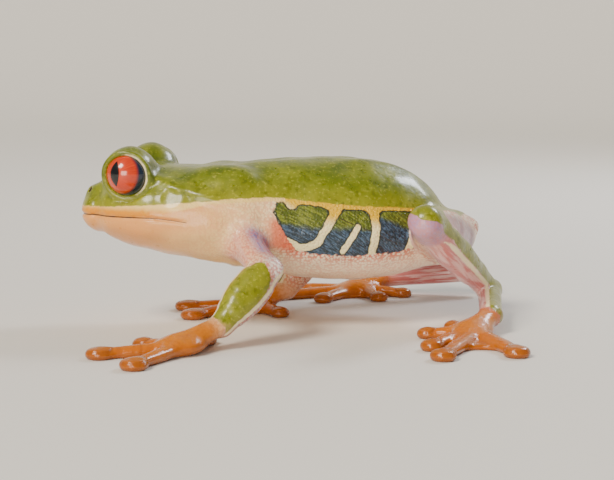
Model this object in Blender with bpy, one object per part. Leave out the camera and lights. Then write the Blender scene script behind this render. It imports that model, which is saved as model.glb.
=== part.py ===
"""Red-eyed tree frog, life size, walking with its toes spread: a still museum model.

The frog stands on the floor z = 0 and faces -X. Its left side is on -Y.
Every size below is in millimetres and is turned to metres when a mesh is made.
"""

import math

import bmesh
import bpy
from mathutils import Matrix, Vector

MM = 0.001
GAP = 0.3
SIDES = {"left": -1.0, "right": 1.0}

# The spine seen from above: a straight head, a bend at the neck and a straight trunk
SNOUT = Vector((-35.4, -1.6))
HEAD_YAW = math.radians(2.0)
TRUNK_YAW = math.radians(23.5)
BEND_START = 16.9
BEND_RADIUS = 28.0

# Sections of head and trunk: distance from the snout, half width, height of the widest level, top, bottom
SECTIONS = (
    (3.2, 6.5, 17.6, 21.9, 14.5),
    (6.0, 8.5, 17.4, 23.7, 13.2),
    (9.5, 10.0, 17.2, 24.9, 12.2),
    (14.0, 10.9, 17.0, 25.3, 11.3),
    (19.0, 10.9, 16.8, 25.2, 10.4),
    (24.0, 10.3, 16.2, 25.5, 9.3),
    (30.0, 10.6, 15.6, 26.0, 8.1),
    (37.0, 11.4, 15.0, 26.3, 7.0),
    (43.0, 11.5, 14.8, 26.1, 6.7),
    (49.0, 10.2, 14.8, 24.9, 7.2),
    (54.0, 8.0, 14.4, 22.2, 8.4),
    (59.0, 5.4, 13.4, 17.6, 9.8),
)
SNOUT_CAP = 3.2
VENT_CAP = 4.2
NECK = 24.0
SQUARENESS = 2.15

# Mouth, eyes, ears and nostrils, by distance from the snout tip
MOUTH_CORNER = 18.0
EYE = {"along": 9.2, "aside": 7.1, "height": 24.0, "radius": 3.6}
BROW_RADIUS = 4.15
BROW_INSET = 1.0
LID = {"out": 0.9, "ring": 3.95, "wire": 0.42, "droop": 0.12}
EAR = {"along": 16.3, "height": 20.4, "ring": 1.45, "wire": 0.32}
NOSTRIL = {"along": 2.1, "aside": 2.9, "height": 20.9, "radius": 0.42}
BRIDGE_RADIUS = 1.25

# Joints of the limbs
SHOULDER = {"left": (-9.6, -5.6, 15.0), "right": (-12.4, 8.6, 15.0)}
ELBOW = {"left": (-3.4, -14.4, 10.5), "right": (-1.6, 20.2, 11.8)}
WRIST = {"left": (-8.4, -20.9, 3.4), "right": (-6.6, 15.4, 3.4)}
HIP = {"left": (20.6, 9.0, 13.2), "right": (17.1, 16.6, 13.2)}
KNEE = {"left": (19.4, -9.2, 17.5), "right": (3.4, 29.0, 20.5)}
HEEL = {"left": (27.4, 13.6, 4.4), "right": (23.2, 37.0, 4.4)}
ANKLE = {"left": (28.6, -1.2, 2.8), "right": (7.4, 37.4, 2.8)}

# Radii along each limb, from its root to its end
UPPER_ARM_RADII = (3.0, 2.8, 2.5, 2.3, 2.2)
FOREARM_RADII = (2.3, 2.9, 2.9, 2.4, 1.9)
THIGH_RADII = (4.1, 4.1, 3.7, 3.0, 2.35)
SHANK_RADII = (2.2, 2.7, 2.6, 2.1, 1.8)
TARSUS_RADII = (1.8, 1.85, 1.8, 1.75, 1.75)

# Palms and soles: middle of the palm, and for each digit its root, its pad, the pad's radius
# and how far from the root the web lets it go
PALM = {
    "hand_left": {
        "middle": (-13.1, -25.9),
        "digits": (
            ((-11.6, -22.8), (-11.4, -18.0), 1.55, 2.4),
            ((-15.0, -25.3), (-19.4, -22.8), 1.70, 2.5),
            ((-14.6, -27.6), (-23.2, -31.1), 2.00, 3.7),
            ((-13.4, -28.4), (-16.2, -37.4), 2.00, 3.6),
        ),
    },
    "hand_right": {
        "middle": (-11.6, 12.3),
        "digits": (
            ((-9.4, 11.2), (-5.9, 7.6), 1.50, 2.1),
            ((-11.6, 10.4), (-13.4, 4.5), 2.00, 2.4),
            ((-13.2, 10.8), (-19.3, 3.2), 2.05, 4.6),
            ((-14.2, 12.5), (-22.6, 11.8), 2.15, 3.6),
        ),
    },
    "foot_left": {
        "middle": (26.2, -6.6),
        "digits": (
            ((25.4, -4.2), (22.8, 0.0), 1.45, 1.7),
            ((24.2, -6.7), (19.5, -6.8), 1.50, 1.7),
            ((24.7, -9.0), (21.3, -16.4), 1.70, 4.2),
            ((26.6, -9.6), (23.6, -23.3), 1.87, 8.0),
            ((28.2, -9.2), (33.4, -18.9), 1.95, 7.4),
        ),
    },
    "foot_right": {
        "middle": (2.6, 33.2),
        "digits": (
            ((6.0, 33.3), (11.0, 32.4), 1.50, 1.9),
            ((4.5, 31.8), (7.4, 27.2), 1.60, 2.1),
            ((1.2, 31.0), (-1.8, 23.9), 1.65, 4.0),
            ((-0.6, 31.6), (-10.7, 24.3), 1.95, 7.0),
            ((-1.0, 33.6), (-9.5, 35.6), 1.95, 4.5),
        ),
    },
}
DIGIT_RADIUS = 1.22
DIGIT_DEPTH = 0.8
DIGIT_WAIST = (1.0, 0.93, 0.9, 0.98)
PAD_THICKNESS = 0.95
PAD_HEIGHT = 0.78
WEB_BOTTOM = 0.12
WEB_THICKNESS = 0.75
WEB_INSET = 0.5
WEB_DIP = {"hand": 0.5, "foot": 0.3}
PALM_CUSHION = {"hand": (3.7, 3.3, 1.5), "foot": (3.8, 3.0, 1.4)}
PALM_HEIGHT = 1.25

# Colours from the photograph, with roughness
COLOURS = {
    "green_back": ((0.36, 0.47, 0.10), 0.35),
    "cream_throat": ((0.88, 0.72, 0.52), 0.40),
    "flesh_limb": ((0.86, 0.68, 0.55), 0.42),
    "orange_foot": ((0.83, 0.44, 0.12), 0.28),
    "red_eye": ((0.72, 0.14, 0.05), 0.08),
}

scene = bpy.context.scene
frog = bpy.data.collections.new("red_eyed_tree_frog")
helpers = bpy.data.collections.new("cutters")


def clear_scene():
    for found in list(bpy.data.objects):
        bpy.data.objects.remove(found)
    for collection in (frog, helpers):
        scene.collection.children.link(collection)
    helpers.hide_render = True


def material(name):
    """A Principled material in one of the named colours."""
    found = bpy.data.materials.get(name)
    if found:
        return found
    colour, roughness = COLOURS[name]
    made = bpy.data.materials.new(name)
    made.use_nodes = True
    shader = made.node_tree.nodes["Principled BSDF"]
    shader.inputs["Base Color"].default_value = (*colour, 1.0)
    shader.inputs["Roughness"].default_value = roughness
    shader.inputs["Metallic"].default_value = 0.0
    return made


def add_object(name, mesh, collection):
    made = bpy.data.objects.new(name, mesh)
    collection.objects.link(made)
    made.hide_render = collection is helpers
    made.display_type = "WIRE" if collection is helpers else "TEXTURED"
    return made


def smooth_through(rows, at):
    """The row of values at one distance, on a cubic through the rows that has no overshoot."""
    places = [row[0] for row in rows]
    if at <= places[0]:
        return rows[0][1:]
    if at >= places[-1]:
        return rows[-1][1:]
    k = max(i for i, place in enumerate(places) if place <= at)
    k = min(k, len(rows) - 2)
    width = places[k + 1] - places[k]
    t = (at - places[k]) / width
    values = []
    for column in range(1, len(rows[0])):

        def slope(i):
            if i == 0 or i == len(rows) - 1:
                return 0.0 if i else (rows[1][column] - rows[0][column]) / (places[1] - places[0])
            before = (rows[i][column] - rows[i - 1][column]) / (places[i] - places[i - 1])
            after = (rows[i + 1][column] - rows[i][column]) / (places[i + 1] - places[i])
            return 0.0 if before * after <= 0 else 2 * before * after / (before + after)

        start, end = rows[k][column], rows[k + 1][column]
        values.append(
            start * (2 * t**3 - 3 * t**2 + 1)
            + end * (3 * t**2 - 2 * t**3)
            + width * (slope(k) * (t**3 - 2 * t**2 + t) + slope(k + 1) * (t**3 - t**2))
        )
    return values


def spine(along):
    """Point on the floor plan under the spine and the direction towards the vent."""
    turned = min(max(along - BEND_START, 0.0) / BEND_RADIUS, TRUNK_YAW - HEAD_YAW)
    straight = Vector((math.cos(HEAD_YAW), math.sin(HEAD_YAW)))
    point = SNOUT + straight * min(along, BEND_START)
    centre = point + Vector((-straight.y, straight.x)) * BEND_RADIUS
    yaw = HEAD_YAW + turned
    if turned > 0:
        point = centre + Vector((math.sin(yaw), -math.cos(yaw))) * BEND_RADIUS
    heading = Vector((math.cos(yaw), math.sin(yaw)))
    bend_length = BEND_RADIUS * (TRUNK_YAW - HEAD_YAW)
    point += heading * max(along - BEND_START - bend_length, 0.0)
    return point, heading


def body_point(along, aside, height):
    """A place on the body from its distance along the spine, to the right of it, and its height."""
    point, heading = spine(along)
    return Vector((point.x - heading.y * aside, point.y + heading.x * aside, height))


def body_ring(along, count, scale=1.0, shift=0.0, swell=0.0):
    """One section of head or trunk, a squared ellipse with unlike upper and lower halves."""
    half, middle, top, bottom = smooth_through(SECTIONS, along)
    ring = []
    for i in range(count):
        angle = 2 * math.pi * i / count
        c, s = math.cos(angle), math.sin(angle)
        power = 2 / SQUARENESS
        across = math.copysign(abs(c) ** power, c) * (half + swell) * scale
        rise = (top - middle) if s > 0 else (middle - bottom)
        up = math.copysign(abs(s) ** power, s) * (rise + swell) * scale
        point, heading = spine(along)
        point = point + heading * shift
        ring.append(Vector((point.x - heading.y * across, point.y + heading.x * across, middle + up)))
    return ring


def loft(name, rings, collection, tips=(None, None)):
    """A closed body through rings of equal count, closed by a flat cap or a tip point at each end."""
    mesh = bmesh.new()
    rows = [[mesh.verts.new(p * MM) for p in ring] for ring in rings]
    count = len(rows[0])
    for low, high in zip(rows, rows[1:]):
        for i in range(count):
            j = (i + 1) % count
            mesh.faces.new((low[i], low[j], high[j], high[i]))
    for row, tip in ((rows[0][::-1], tips[0]), (rows[-1], tips[1])):
        if tip is None:
            mesh.faces.new(row)
            continue
        point = mesh.verts.new(tip * MM)
        for i in range(count):
            mesh.faces.new((row[i], row[(i + 1) % count], point))
    bmesh.ops.recalc_face_normals(mesh, faces=mesh.faces)
    data = bpy.data.meshes.new(name)
    mesh.to_mesh(data)
    mesh.free()
    return add_object(name, data, collection)


def evenly(start, end, count):
    return [start + (end - start) * i / (count - 1) for i in range(count)]


def body_loft(name, start, end, count, rows, collection, swell=0.0):
    """A length of the body; it runs out in a round cap where start or end is None."""
    rings, tips = [], [None, None]
    first = SECTIONS[0][0] if start is None else start
    last = SECTIONS[-1][0] if end is None else end
    cap_angles = [math.radians(a) for a in (68, 46, 22)]
    if start is None:
        reach = SNOUT_CAP + swell
        for angle in cap_angles:
            rings.append(body_ring(first, count, math.cos(angle), -math.sin(angle) * reach, swell))
        point, heading = spine(first)
        point = point - heading * reach
        tips[0] = Vector((point.x, point.y, smooth_through(SECTIONS, first)[1]))
    for along in evenly(first, last, rows):
        rings.append(body_ring(along, count, swell=swell))
    if end is None:
        reach = VENT_CAP + swell
        for angle in cap_angles[::-1]:
            rings.append(body_ring(last, count, math.cos(angle), math.sin(angle) * reach, swell))
        point, heading = spine(last)
        point = point + heading * reach
        tips[1] = Vector((point.x, point.y, smooth_through(SECTIONS, last)[1]))
    return loft(name, rings, collection, tips)


def sweep(name, path, radii, count, collection, depth=1.0, round_ends=(True, True)):
    """A tube of round section through the points of a path, with round or flat ends.

    depth squeezes the section from above.
    """
    rings, tips = [], [None, None]
    caps = [math.radians(a) for a in (60, 30)]
    for i, (centre, radius) in enumerate(zip(path, radii)):
        before, after = path[max(i - 1, 0)], path[min(i + 1, len(path) - 1)]
        axis = (after - before).normalized()
        side = axis.cross(Vector((0, 0, 1)))
        side = side.normalized() if side.length > 0.05 else Vector((1, 0, 0))
        up = side.cross(axis)
        steps = [(0.0, 1.0)]
        if i == 0 and round_ends[0]:
            steps = [(-math.sin(a), math.cos(a)) for a in caps] + steps
            tips[0] = centre - axis * radius
        if i == len(path) - 1 and round_ends[1]:
            steps += [(math.sin(a), math.cos(a)) for a in caps[::-1]]
            tips[1] = centre + axis * radius
        for along, across in steps:
            middle, reach = centre + axis * along * radius, across * radius
            turns = [2 * math.pi * k / count for k in range(count)]
            rings.append(
                [middle + side * math.cos(a) * reach + up * math.sin(a) * reach * depth for a in turns]
            )
    return loft(name, rings, collection, tips)


def limb(name, root, end, radii, count, collection, swell=0.0, depth=1.0, bow=(0, 0, 0)):
    """A straight or slightly bowed limb from root to end, fatter where its radii say."""
    root, end, bow = Vector(root), Vector(end), Vector(bow)
    profile = [(i / (len(radii) - 1), r) for i, r in enumerate(radii)]
    places = evenly(0.0, 1.0, 2 * len(radii) - 1)
    path = [root.lerp(end, t) + bow * 4 * t * (1 - t) for t in places]
    swollen = [smooth_through(profile, t)[0] + swell for t in places]
    return sweep(name, path, swollen, count, collection, depth)


def ball(name, centre, sizes, collection, segments=16, rings=8, turn=0.0):
    bpy.ops.mesh.primitive_uv_sphere_add(segments=segments, ring_count=rings, radius=MM)
    made = bpy.context.object
    made.name = name
    made.data.transform(Matrix.Rotation(turn, 4, "Z") @ Matrix.Diagonal((*sizes, 1.0)))
    made.data.transform(Matrix.Translation(Vector(centre) * MM))
    return moved_to(made, collection)


def block(name, low, high, collection, frame=None):
    """A box between two corners, optionally turned and placed by a matrix."""
    bpy.ops.mesh.primitive_cube_add(size=MM)
    made = bpy.context.object
    made.name = name
    low, high = Vector(low), Vector(high)
    made.data.transform(Matrix.Diagonal((*(high - low), 1.0)))
    made.data.transform(Matrix.Translation((low + high) / 2 * MM))
    if frame is not None:
        made.data.transform(frame)
    return moved_to(made, collection)


def moved_to(made, collection):
    for old in list(made.users_collection):
        old.objects.unlink(made)
    collection.objects.link(made)
    made.hide_render = collection is helpers
    made.display_type = "WIRE" if collection is helpers else "TEXTURED"
    return made


def settle(made):
    """Applies the modifiers and keeps the largest closed surface that they leave."""
    graph = bpy.context.evaluated_depsgraph_get()
    data = bpy.data.meshes.new_from_object(made.evaluated_get(graph))
    made.modifiers.clear()
    made.data = data
    mesh = bmesh.new()
    mesh.from_mesh(data)
    bmesh.ops.remove_doubles(mesh, verts=mesh.verts, dist=0.000001)
    left, shells = set(mesh.verts), []
    while left:
        shell, front = set(), [left.pop()]
        while front:
            vert = front.pop()
            shell.add(vert)
            for edge in vert.link_edges:
                other = edge.other_vert(vert)
                if other in left:
                    left.discard(other)
                    front.append(other)
        shells.append(shell)
    largest = max(shells, key=len)
    bmesh.ops.delete(mesh, geom=[v for v in mesh.verts if v not in largest], context="VERTS")
    mesh.to_mesh(data)
    mesh.free()
    return made


def boolean(made, operation, others, solver="EXACT"):
    """Joins others to made, or cuts them from it, and removes them."""
    group = bpy.data.collections.new("operands")
    for other in others:
        group.objects.link(other)
    modifier = made.modifiers.new(operation.lower(), "BOOLEAN")
    modifier.operation = operation
    modifier.solver = solver
    modifier.operand_type = "COLLECTION"
    modifier.collection = group
    settle(made)
    for other in others:
        bpy.data.objects.remove(other)
    bpy.data.collections.remove(group)
    return made


def finish(made, colour):
    made.data.materials.clear()
    made.data.materials.append(material(colour))
    made.data.shade_smooth()
    made.data.set_sharp_from_angle(angle=math.radians(40))
    return made


def stand_on_floor(made):
    """Flattens what reaches the floor, so that pads and palms rest on small flats at one level."""
    for vert in made.data.vertices:
        vert.co.z = max(vert.co.z, 0.0)
    return made


def body_frame(along):
    """Places a box made with +X towards the vent and +Y to the right at a distance along the spine."""
    point, heading = spine(along)
    turn = Matrix.Rotation(math.atan2(heading.y, heading.x), 4, "Z")
    return Matrix.Translation(Vector((point.x, point.y, 0.0)) * MM) @ turn


def eye_centre(side):
    return body_point(EYE["along"], SIDES[side] * EYE["aside"], EYE["height"])


def build_head():
    """Skull with brows, lids, bridge of the nose, ear rings and sockets, and the jaw under the mouth."""
    head = body_loft("head", None, NECK - GAP / 2, 32, 10, frog)
    jaw = body_loft("lower_jaw", None, NECK - GAP / 2, 32, 10, frog)
    jaw_frame = body_frame(0.0)
    mouth_height = SECTIONS[0][2]
    for made, inside in ((head, False), (jaw, True)):
        edge = -GAP / 2 if inside else GAP / 2
        low, high = (-9, -20, 0), (MOUTH_CORNER + edge, 20, mouth_height + edge)
        cutter = block("mouth_cutter", low, high, helpers, jaw_frame)
        boolean(made, "INTERSECT" if inside else "DIFFERENCE", [cutter])
    added = []
    for side, sign in SIDES.items():
        centre = eye_centre(side)
        inward = (body_point(EYE["along"], 0.0, EYE["height"]) - centre).normalized()
        brow = centre + inward * BROW_INSET
        sizes = (BROW_RADIUS, BROW_RADIUS, BROW_RADIUS * 0.98)
        added.append(ball("brow_" + side, brow, sizes, frog, 18, 10))
        corner = body_point(NOSTRIL["along"] + 0.3, sign * (NOSTRIL["aside"] - 0.5), NOSTRIL["height"] - 0.2)
        start = body_point(EYE["along"] - 2.0, sign * 5.3, EYE["height"] - 0.9)
        radii = (BRIDGE_RADIUS, BRIDGE_RADIUS)
        added.append(limb("bridge_" + side, start, corner, radii, 10, frog))
        added += [ear_ring(side, sign), lid_ring(side, inward)]
    boolean(head, "UNION", added)
    cut = []
    for side, sign in SIDES.items():
        socket = EYE["radius"] + GAP
        cut.append(ball("socket_" + side, eye_centre(side), (socket,) * 3, helpers, 20, 12))
        pit = body_point(NOSTRIL["along"], sign * (NOSTRIL["aside"] + 0.25), NOSTRIL["height"] + 0.15)
        cut.append(ball("nostril_" + side, pit, (NOSTRIL["radius"],) * 3, helpers, 8, 6))
    boolean(head, "DIFFERENCE", cut)
    finish(head, "green_back")
    finish(jaw, "cream_throat")
    for side in SIDES:
        radius = (EYE["radius"],) * 3
        finish(ball("eye_" + side, eye_centre(side), radius, frog, 20, 12), "red_eye")


def wire_ring(name, centre, outward, radius, wire):
    """A round rim of skin about a centre, facing outward."""
    bpy.ops.mesh.primitive_torus_add(
        major_segments=24, minor_segments=6, major_radius=radius * MM, minor_radius=wire * MM
    )
    ring = bpy.context.object
    ring.name = name
    turn = outward.normalized().to_track_quat("Z", "Y").to_matrix().to_4x4()
    ring.data.transform(Matrix.Translation(centre * MM) @ turn)
    return moved_to(ring, frog)


def ear_ring(side, sign):
    """The low rim round the eardrum, half sunk in the cheek."""
    half, middle, top, _ = smooth_through(SECTIONS, EAR["along"])
    level = (EAR["height"] - middle) / (top - middle)
    aside = half * (1 - level**SQUARENESS) ** (1 / SQUARENESS) - 0.1
    centre = body_point(EAR["along"], sign * aside, EAR["height"])
    return wire_ring("ear_" + side, centre, Vector((0.12, sign, 0.42)), EAR["ring"], EAR["wire"])


def lid_ring(side, inward):
    """The upper and lower lid, a rim that lies on the eyeball and droops over its top."""
    outward = -inward - Vector((0, 0, LID["droop"]))
    centre = eye_centre(side) + outward.normalized() * LID["out"]
    return wire_ring("lid_" + side, centre, outward, LID["ring"], LID["wire"])


def build_torso():
    torso = body_loft("torso", NECK + GAP / 2, None, 32, 14, frog)
    return finish(torso, "green_back")


def cut_by_body(made):
    """Cuts a limb's root back to the skin of head and trunk, with the touching gap."""
    cutter = body_loft("body_cutter", None, None, 32, 22, helpers, swell=GAP)
    return boolean(made, "DIFFERENCE", [cutter])


def build_chain(side, links):
    """A limb's segments from the body outwards; each is cut back from the one before it."""
    before = None
    for name, root, end, radii, colour, count in links:
        made = limb(name + "_" + side, root[side], end[side], radii, count, frog)
        if before is None:
            cut_by_body(made)
        else:
            boolean(made, "DIFFERENCE", [before])
        before = limb("last_cutter", root[side], end[side], radii, count, helpers, swell=GAP)
        finish(made, colour)
    return before


def digit_places(root, pad, free):
    """Where the web ends on a digit, and the unit direction from its root to its pad."""
    root, pad = Vector((*root, DIGIT_RADIUS * DIGIT_DEPTH - 0.06)), Vector((*pad, PAD_HEIGHT))
    way = (pad - root).normalized()
    return root, pad, way, root + way * free


def web_plate(name, middle, ends, dip):
    """The web: a thin plate round the palm whose edge dips in a curve between the digits."""
    middle = Vector(middle)
    corners = []
    for end in ends:
        corner = Vector((end.x, end.y))
        corners.append(corner + (middle - corner).normalized() * WEB_INSET)
    outline = [middle]
    for start, end in zip(corners, corners[1:]):
        low = (start + end) / 2
        low += (middle - low) * dip
        for t in (0.0, 0.25, 0.5, 0.75):
            outline.append(start * (1 - t) ** 2 + low * 2 * t * (1 - t) + end * t**2)
    outline.append(corners[-1])
    curve = bpy.data.curves.new(name, "CURVE")
    curve.dimensions = "2D"
    curve.fill_mode = "BOTH"
    curve.extrude = WEB_THICKNESS / 2 * MM
    line = curve.splines.new("POLY")
    line.points.add(len(outline) - 1)
    for point, place in zip(line.points, outline):
        point.co = (place.x * MM, place.y * MM, 0.0, 1.0)
    line.use_cyclic_u = True
    made = add_object(name, curve, frog)
    made.location.z = (WEB_BOTTOM + WEB_THICKNESS / 2) * MM
    return as_mesh(made)


def as_mesh(made):
    """Turns a curve object into a closed mesh object in its own place."""
    bpy.context.view_layer.update()
    graph = bpy.context.evaluated_depsgraph_get()
    data = bpy.data.meshes.new_from_object(made.evaluated_get(graph))
    data.transform(made.matrix_world)
    mesh = bmesh.new()
    mesh.from_mesh(data)
    bmesh.ops.remove_doubles(mesh, verts=mesh.verts, dist=0.000001)
    bmesh.ops.recalc_face_normals(mesh, faces=mesh.faces)
    mesh.to_mesh(data)
    mesh.free()
    name = made.name
    bpy.data.objects.remove(made)
    return add_object(name, data, frog)


def build_palm(kind, side, wrist, last_cutter):
    """A palm or sole with its web and the roots of its digits, then each digit's free length."""
    name = kind + "_" + side
    layout = PALM[name]
    middle = Vector((*layout["middle"], PALM_HEIGHT))
    radii = (1.65, 1.75, 1.8)
    palm = limb(name, wrist, middle, radii, 16, frog, depth=0.85)
    way = middle - Vector(wrist)
    turn = math.atan2(way.y, way.x)
    pieces = [ball("cushion", middle, PALM_CUSHION[kind], frog, 18, 8, turn)]
    ends = []
    digit_name = "finger" if kind == "hand" else "toe"
    for number, (root, pad, pad_radius, free) in enumerate(layout["digits"], 1):
        root, pad, way, end = digit_places(root, pad, free)
        ends.append(end)
        inner = middle.lerp(root, 0.35)
        inner.z = root.z
        bend = [inner * (1 - t) ** 2 + root * 2 * t * (1 - t) + end * t**2 for t in evenly(0, 1, 4)]
        round_ends = (True, False)
        pieces.append(sweep("metacarpal", bend, [DIGIT_RADIUS] * 4, 8, frog, DIGIT_DEPTH, round_ends))
        free_start = end + way * GAP
        digit = free_digit(f"{digit_name}_{side}_{number}", free_start, pad, pad_radius)
        finish(stand_on_floor(digit), "orange_foot")
    pieces.append(web_plate("web", layout["middle"], ends, WEB_DIP[kind]))
    boolean(palm, "UNION", pieces)
    boolean(palm, "DIFFERENCE", [last_cutter])
    return finish(stand_on_floor(palm), "orange_foot")


def free_digit(name, start, pad, pad_radius):
    """The free length of a finger or toe, from a flat face at the web to its round pad."""
    path = [start.lerp(pad, t) for t in evenly(0.0, 1.0, 4)]
    radii = [DIGIT_RADIUS * waist for waist in DIGIT_WAIST]
    shaft = sweep(name, path, radii, 8, frog, DIGIT_DEPTH, (False, False))
    disc = ball("pad", pad, (pad_radius, pad_radius, PAD_THICKNESS), frog, 12, 6)
    return boolean(shaft, "UNION", [disc])


def build_limbs():
    for side in SIDES:
        wrist_cutter = build_chain(
            side,
            (
                ("upper_arm", SHOULDER, ELBOW, UPPER_ARM_RADII, "flesh_limb", 16),
                ("forearm", ELBOW, WRIST, FOREARM_RADII, "flesh_limb", 16),
            ),
        )
        build_palm("hand", side, WRIST[side], wrist_cutter)
        ankle_cutter = build_chain(
            side,
            (
                ("thigh", HIP, KNEE, THIGH_RADII, "flesh_limb", 18),
                ("shank", KNEE, HEEL, SHANK_RADII, "flesh_limb", 16),
                ("tarsus", HEEL, ANKLE, TARSUS_RADII, "flesh_limb", 16),
            ),
        )
        build_palm("foot", side, ANKLE[side], ankle_cutter)


clear_scene()
build_head()
build_torso()
build_limbs()
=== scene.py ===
import math

import bmesh
import bpy
import numpy as np
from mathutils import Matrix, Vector


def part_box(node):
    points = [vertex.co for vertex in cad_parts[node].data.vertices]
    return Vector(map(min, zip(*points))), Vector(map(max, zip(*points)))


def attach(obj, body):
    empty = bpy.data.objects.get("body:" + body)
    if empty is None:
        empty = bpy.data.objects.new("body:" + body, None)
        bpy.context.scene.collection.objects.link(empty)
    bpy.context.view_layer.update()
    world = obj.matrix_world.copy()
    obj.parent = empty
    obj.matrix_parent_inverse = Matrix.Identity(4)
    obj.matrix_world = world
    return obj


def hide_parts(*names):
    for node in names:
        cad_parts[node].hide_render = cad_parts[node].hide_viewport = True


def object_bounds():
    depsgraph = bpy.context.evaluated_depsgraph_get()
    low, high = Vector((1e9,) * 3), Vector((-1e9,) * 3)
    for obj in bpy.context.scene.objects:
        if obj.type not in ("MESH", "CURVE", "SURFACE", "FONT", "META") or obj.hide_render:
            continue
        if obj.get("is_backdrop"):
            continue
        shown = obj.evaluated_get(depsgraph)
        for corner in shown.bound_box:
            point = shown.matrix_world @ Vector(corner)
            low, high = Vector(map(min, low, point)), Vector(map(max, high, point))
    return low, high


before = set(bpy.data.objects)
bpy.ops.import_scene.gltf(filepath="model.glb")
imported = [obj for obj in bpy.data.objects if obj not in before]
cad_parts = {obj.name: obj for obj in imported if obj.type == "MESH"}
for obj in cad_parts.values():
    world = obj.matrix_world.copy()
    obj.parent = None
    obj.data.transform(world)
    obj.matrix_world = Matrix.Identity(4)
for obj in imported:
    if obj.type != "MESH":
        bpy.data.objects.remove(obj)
cad_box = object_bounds()

# Head and trunk
# In life this is one thin, moist skin drawn over skull, ribless chest and soft belly. Nothing is
# fixed: the lids, lips and nostrils are folds and holes of the same skin. Sizes are in millimetres.
MM = 0.001
FAR = 6.0
SNOUT = (-35.4, -1.6)
HEAD_YAW = math.radians(2.0)
TRUNK_YAW = math.radians(23.5)
BEND_START = 16.9
BEND_RADIUS = 28.0
BEND = TRUNK_YAW - HEAD_YAW
# Each row: place along the spine, half width, height of the widest line, top and bottom
SECTION_ROWS = (
    (3.2, 6.5, 17.6, 21.9, 14.5),
    (6.0, 8.5, 17.4, 23.7, 13.2),
    (9.5, 10.0, 17.2, 24.9, 12.2),
    (14.0, 10.9, 17.0, 25.3, 11.3),
    (19.0, 10.9, 16.8, 25.2, 10.4),
    (24.0, 10.3, 16.2, 25.5, 9.3),
    (30.0, 10.6, 15.6, 26.0, 8.1),
    (37.0, 11.4, 15.0, 26.3, 7.0),
    (43.0, 11.5, 14.8, 26.1, 6.7),
    (49.0, 10.2, 14.8, 24.9, 7.2),
    (54.0, 8.0, 14.4, 22.2, 8.4),
    (59.0, 5.4, 13.4, 17.6, 9.8),
)
SNOUT_CAP = 3.2
VENT_CAP = 4.2
SQUARENESS = 2.15


def through(rows, at):
    """Cubic curves through rows of values: each slope is the harmonic mean of the steps on its two
    sides, and zero at a turning point and at the ends, so that no curve overshoots and the round
    caps join without a crease. One result row a column."""
    rows = np.asarray(rows, float)
    x, y = rows[:, 0], rows[:, 1:]
    step = np.diff(y, axis=0) / np.diff(x)[:, None]
    slope = np.zeros_like(y)
    product, total = step[:-1] * step[1:], step[:-1] + step[1:]
    slope[1:-1] = np.where(product > 0, 2 * product / np.where(product > 0, total, 1), 0)
    at = np.clip(at, x[0], x[-1])
    k = np.clip(np.searchsorted(x, at, side="right") - 1, 0, len(x) - 2)
    width = (x[k + 1] - x[k])[:, None]
    t = (at - x[k])[:, None] / width
    value = y[k] * (2 * t**3 - 3 * t**2 + 1) + y[k + 1] * (3 * t**2 - 2 * t**3)
    value += width * (slope[k] * (t**3 - 2 * t**2 + t) + slope[k + 1] * (t**3 - t**2))
    return value.T


SECTION_PLACES = np.arange(SECTION_ROWS[0][0], SECTION_ROWS[-1][0] + 0.1, 0.1)
SECTION_CURVES = through(SECTION_ROWS, SECTION_PLACES)


def unit(way):
    """The same direction, one long."""
    return way / np.linalg.norm(way)


def spine_place(x, y):
    """Distance along the spine from the snout, and distance to the right of it: the plan is turned
    to the head's axis, then to an angle about the neck's centre, then to the trunk's axis."""
    c, s = math.cos(HEAD_YAW), math.sin(HEAD_YAW)
    ahead = (x - SNOUT[0]) * c + (y - SNOUT[1]) * s
    right = (y - SNOUT[1]) * c - (x - SNOUT[0]) * s
    turned = np.arctan2(ahead - BEND_START, BEND_RADIUS - right)
    in_bend = BEND_RADIUS - np.hypot(ahead - BEND_START, BEND_RADIUS - right)
    past_x = ahead - BEND_START - BEND_RADIUS * math.sin(BEND)
    past_y = right - BEND_RADIUS * (1 - math.cos(BEND))
    past = past_x * math.cos(BEND) + past_y * math.sin(BEND)
    past_right = past_y * math.cos(BEND) - past_x * math.sin(BEND)
    in_head, in_trunk = turned <= 0, turned >= BEND
    along = np.where(in_head, ahead, BEND_START + BEND_RADIUS * turned)
    along = np.where(in_trunk, BEND_START + BEND_RADIUS * BEND + past, along)
    return along, np.where(in_trunk, past_right, np.where(in_head, right, in_bend))


def spine_point(at, sign=1.0):
    """The place that spine_place turns back into along and aside, with its height: a walk along the
    bent axis. sign picks the side."""
    along, aside, height = at
    yaw = HEAD_YAW + min(max(along - BEND_START, 0) / BEND_RADIUS, BEND)
    first = min(along, BEND_START)
    last = max(along - BEND_START - BEND_RADIUS * BEND, 0)
    x = SNOUT[0] + first * math.cos(HEAD_YAW)
    y = SNOUT[1] + first * math.sin(HEAD_YAW)
    x += BEND_RADIUS * (math.sin(yaw) - math.sin(HEAD_YAW)) + last * math.cos(yaw)
    y += BEND_RADIUS * (math.cos(HEAD_YAW) - math.cos(yaw)) + last * math.sin(yaw)
    return np.array((x - math.sin(yaw) * sign * aside, y + math.cos(yaw) * sign * aside, height))


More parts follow.
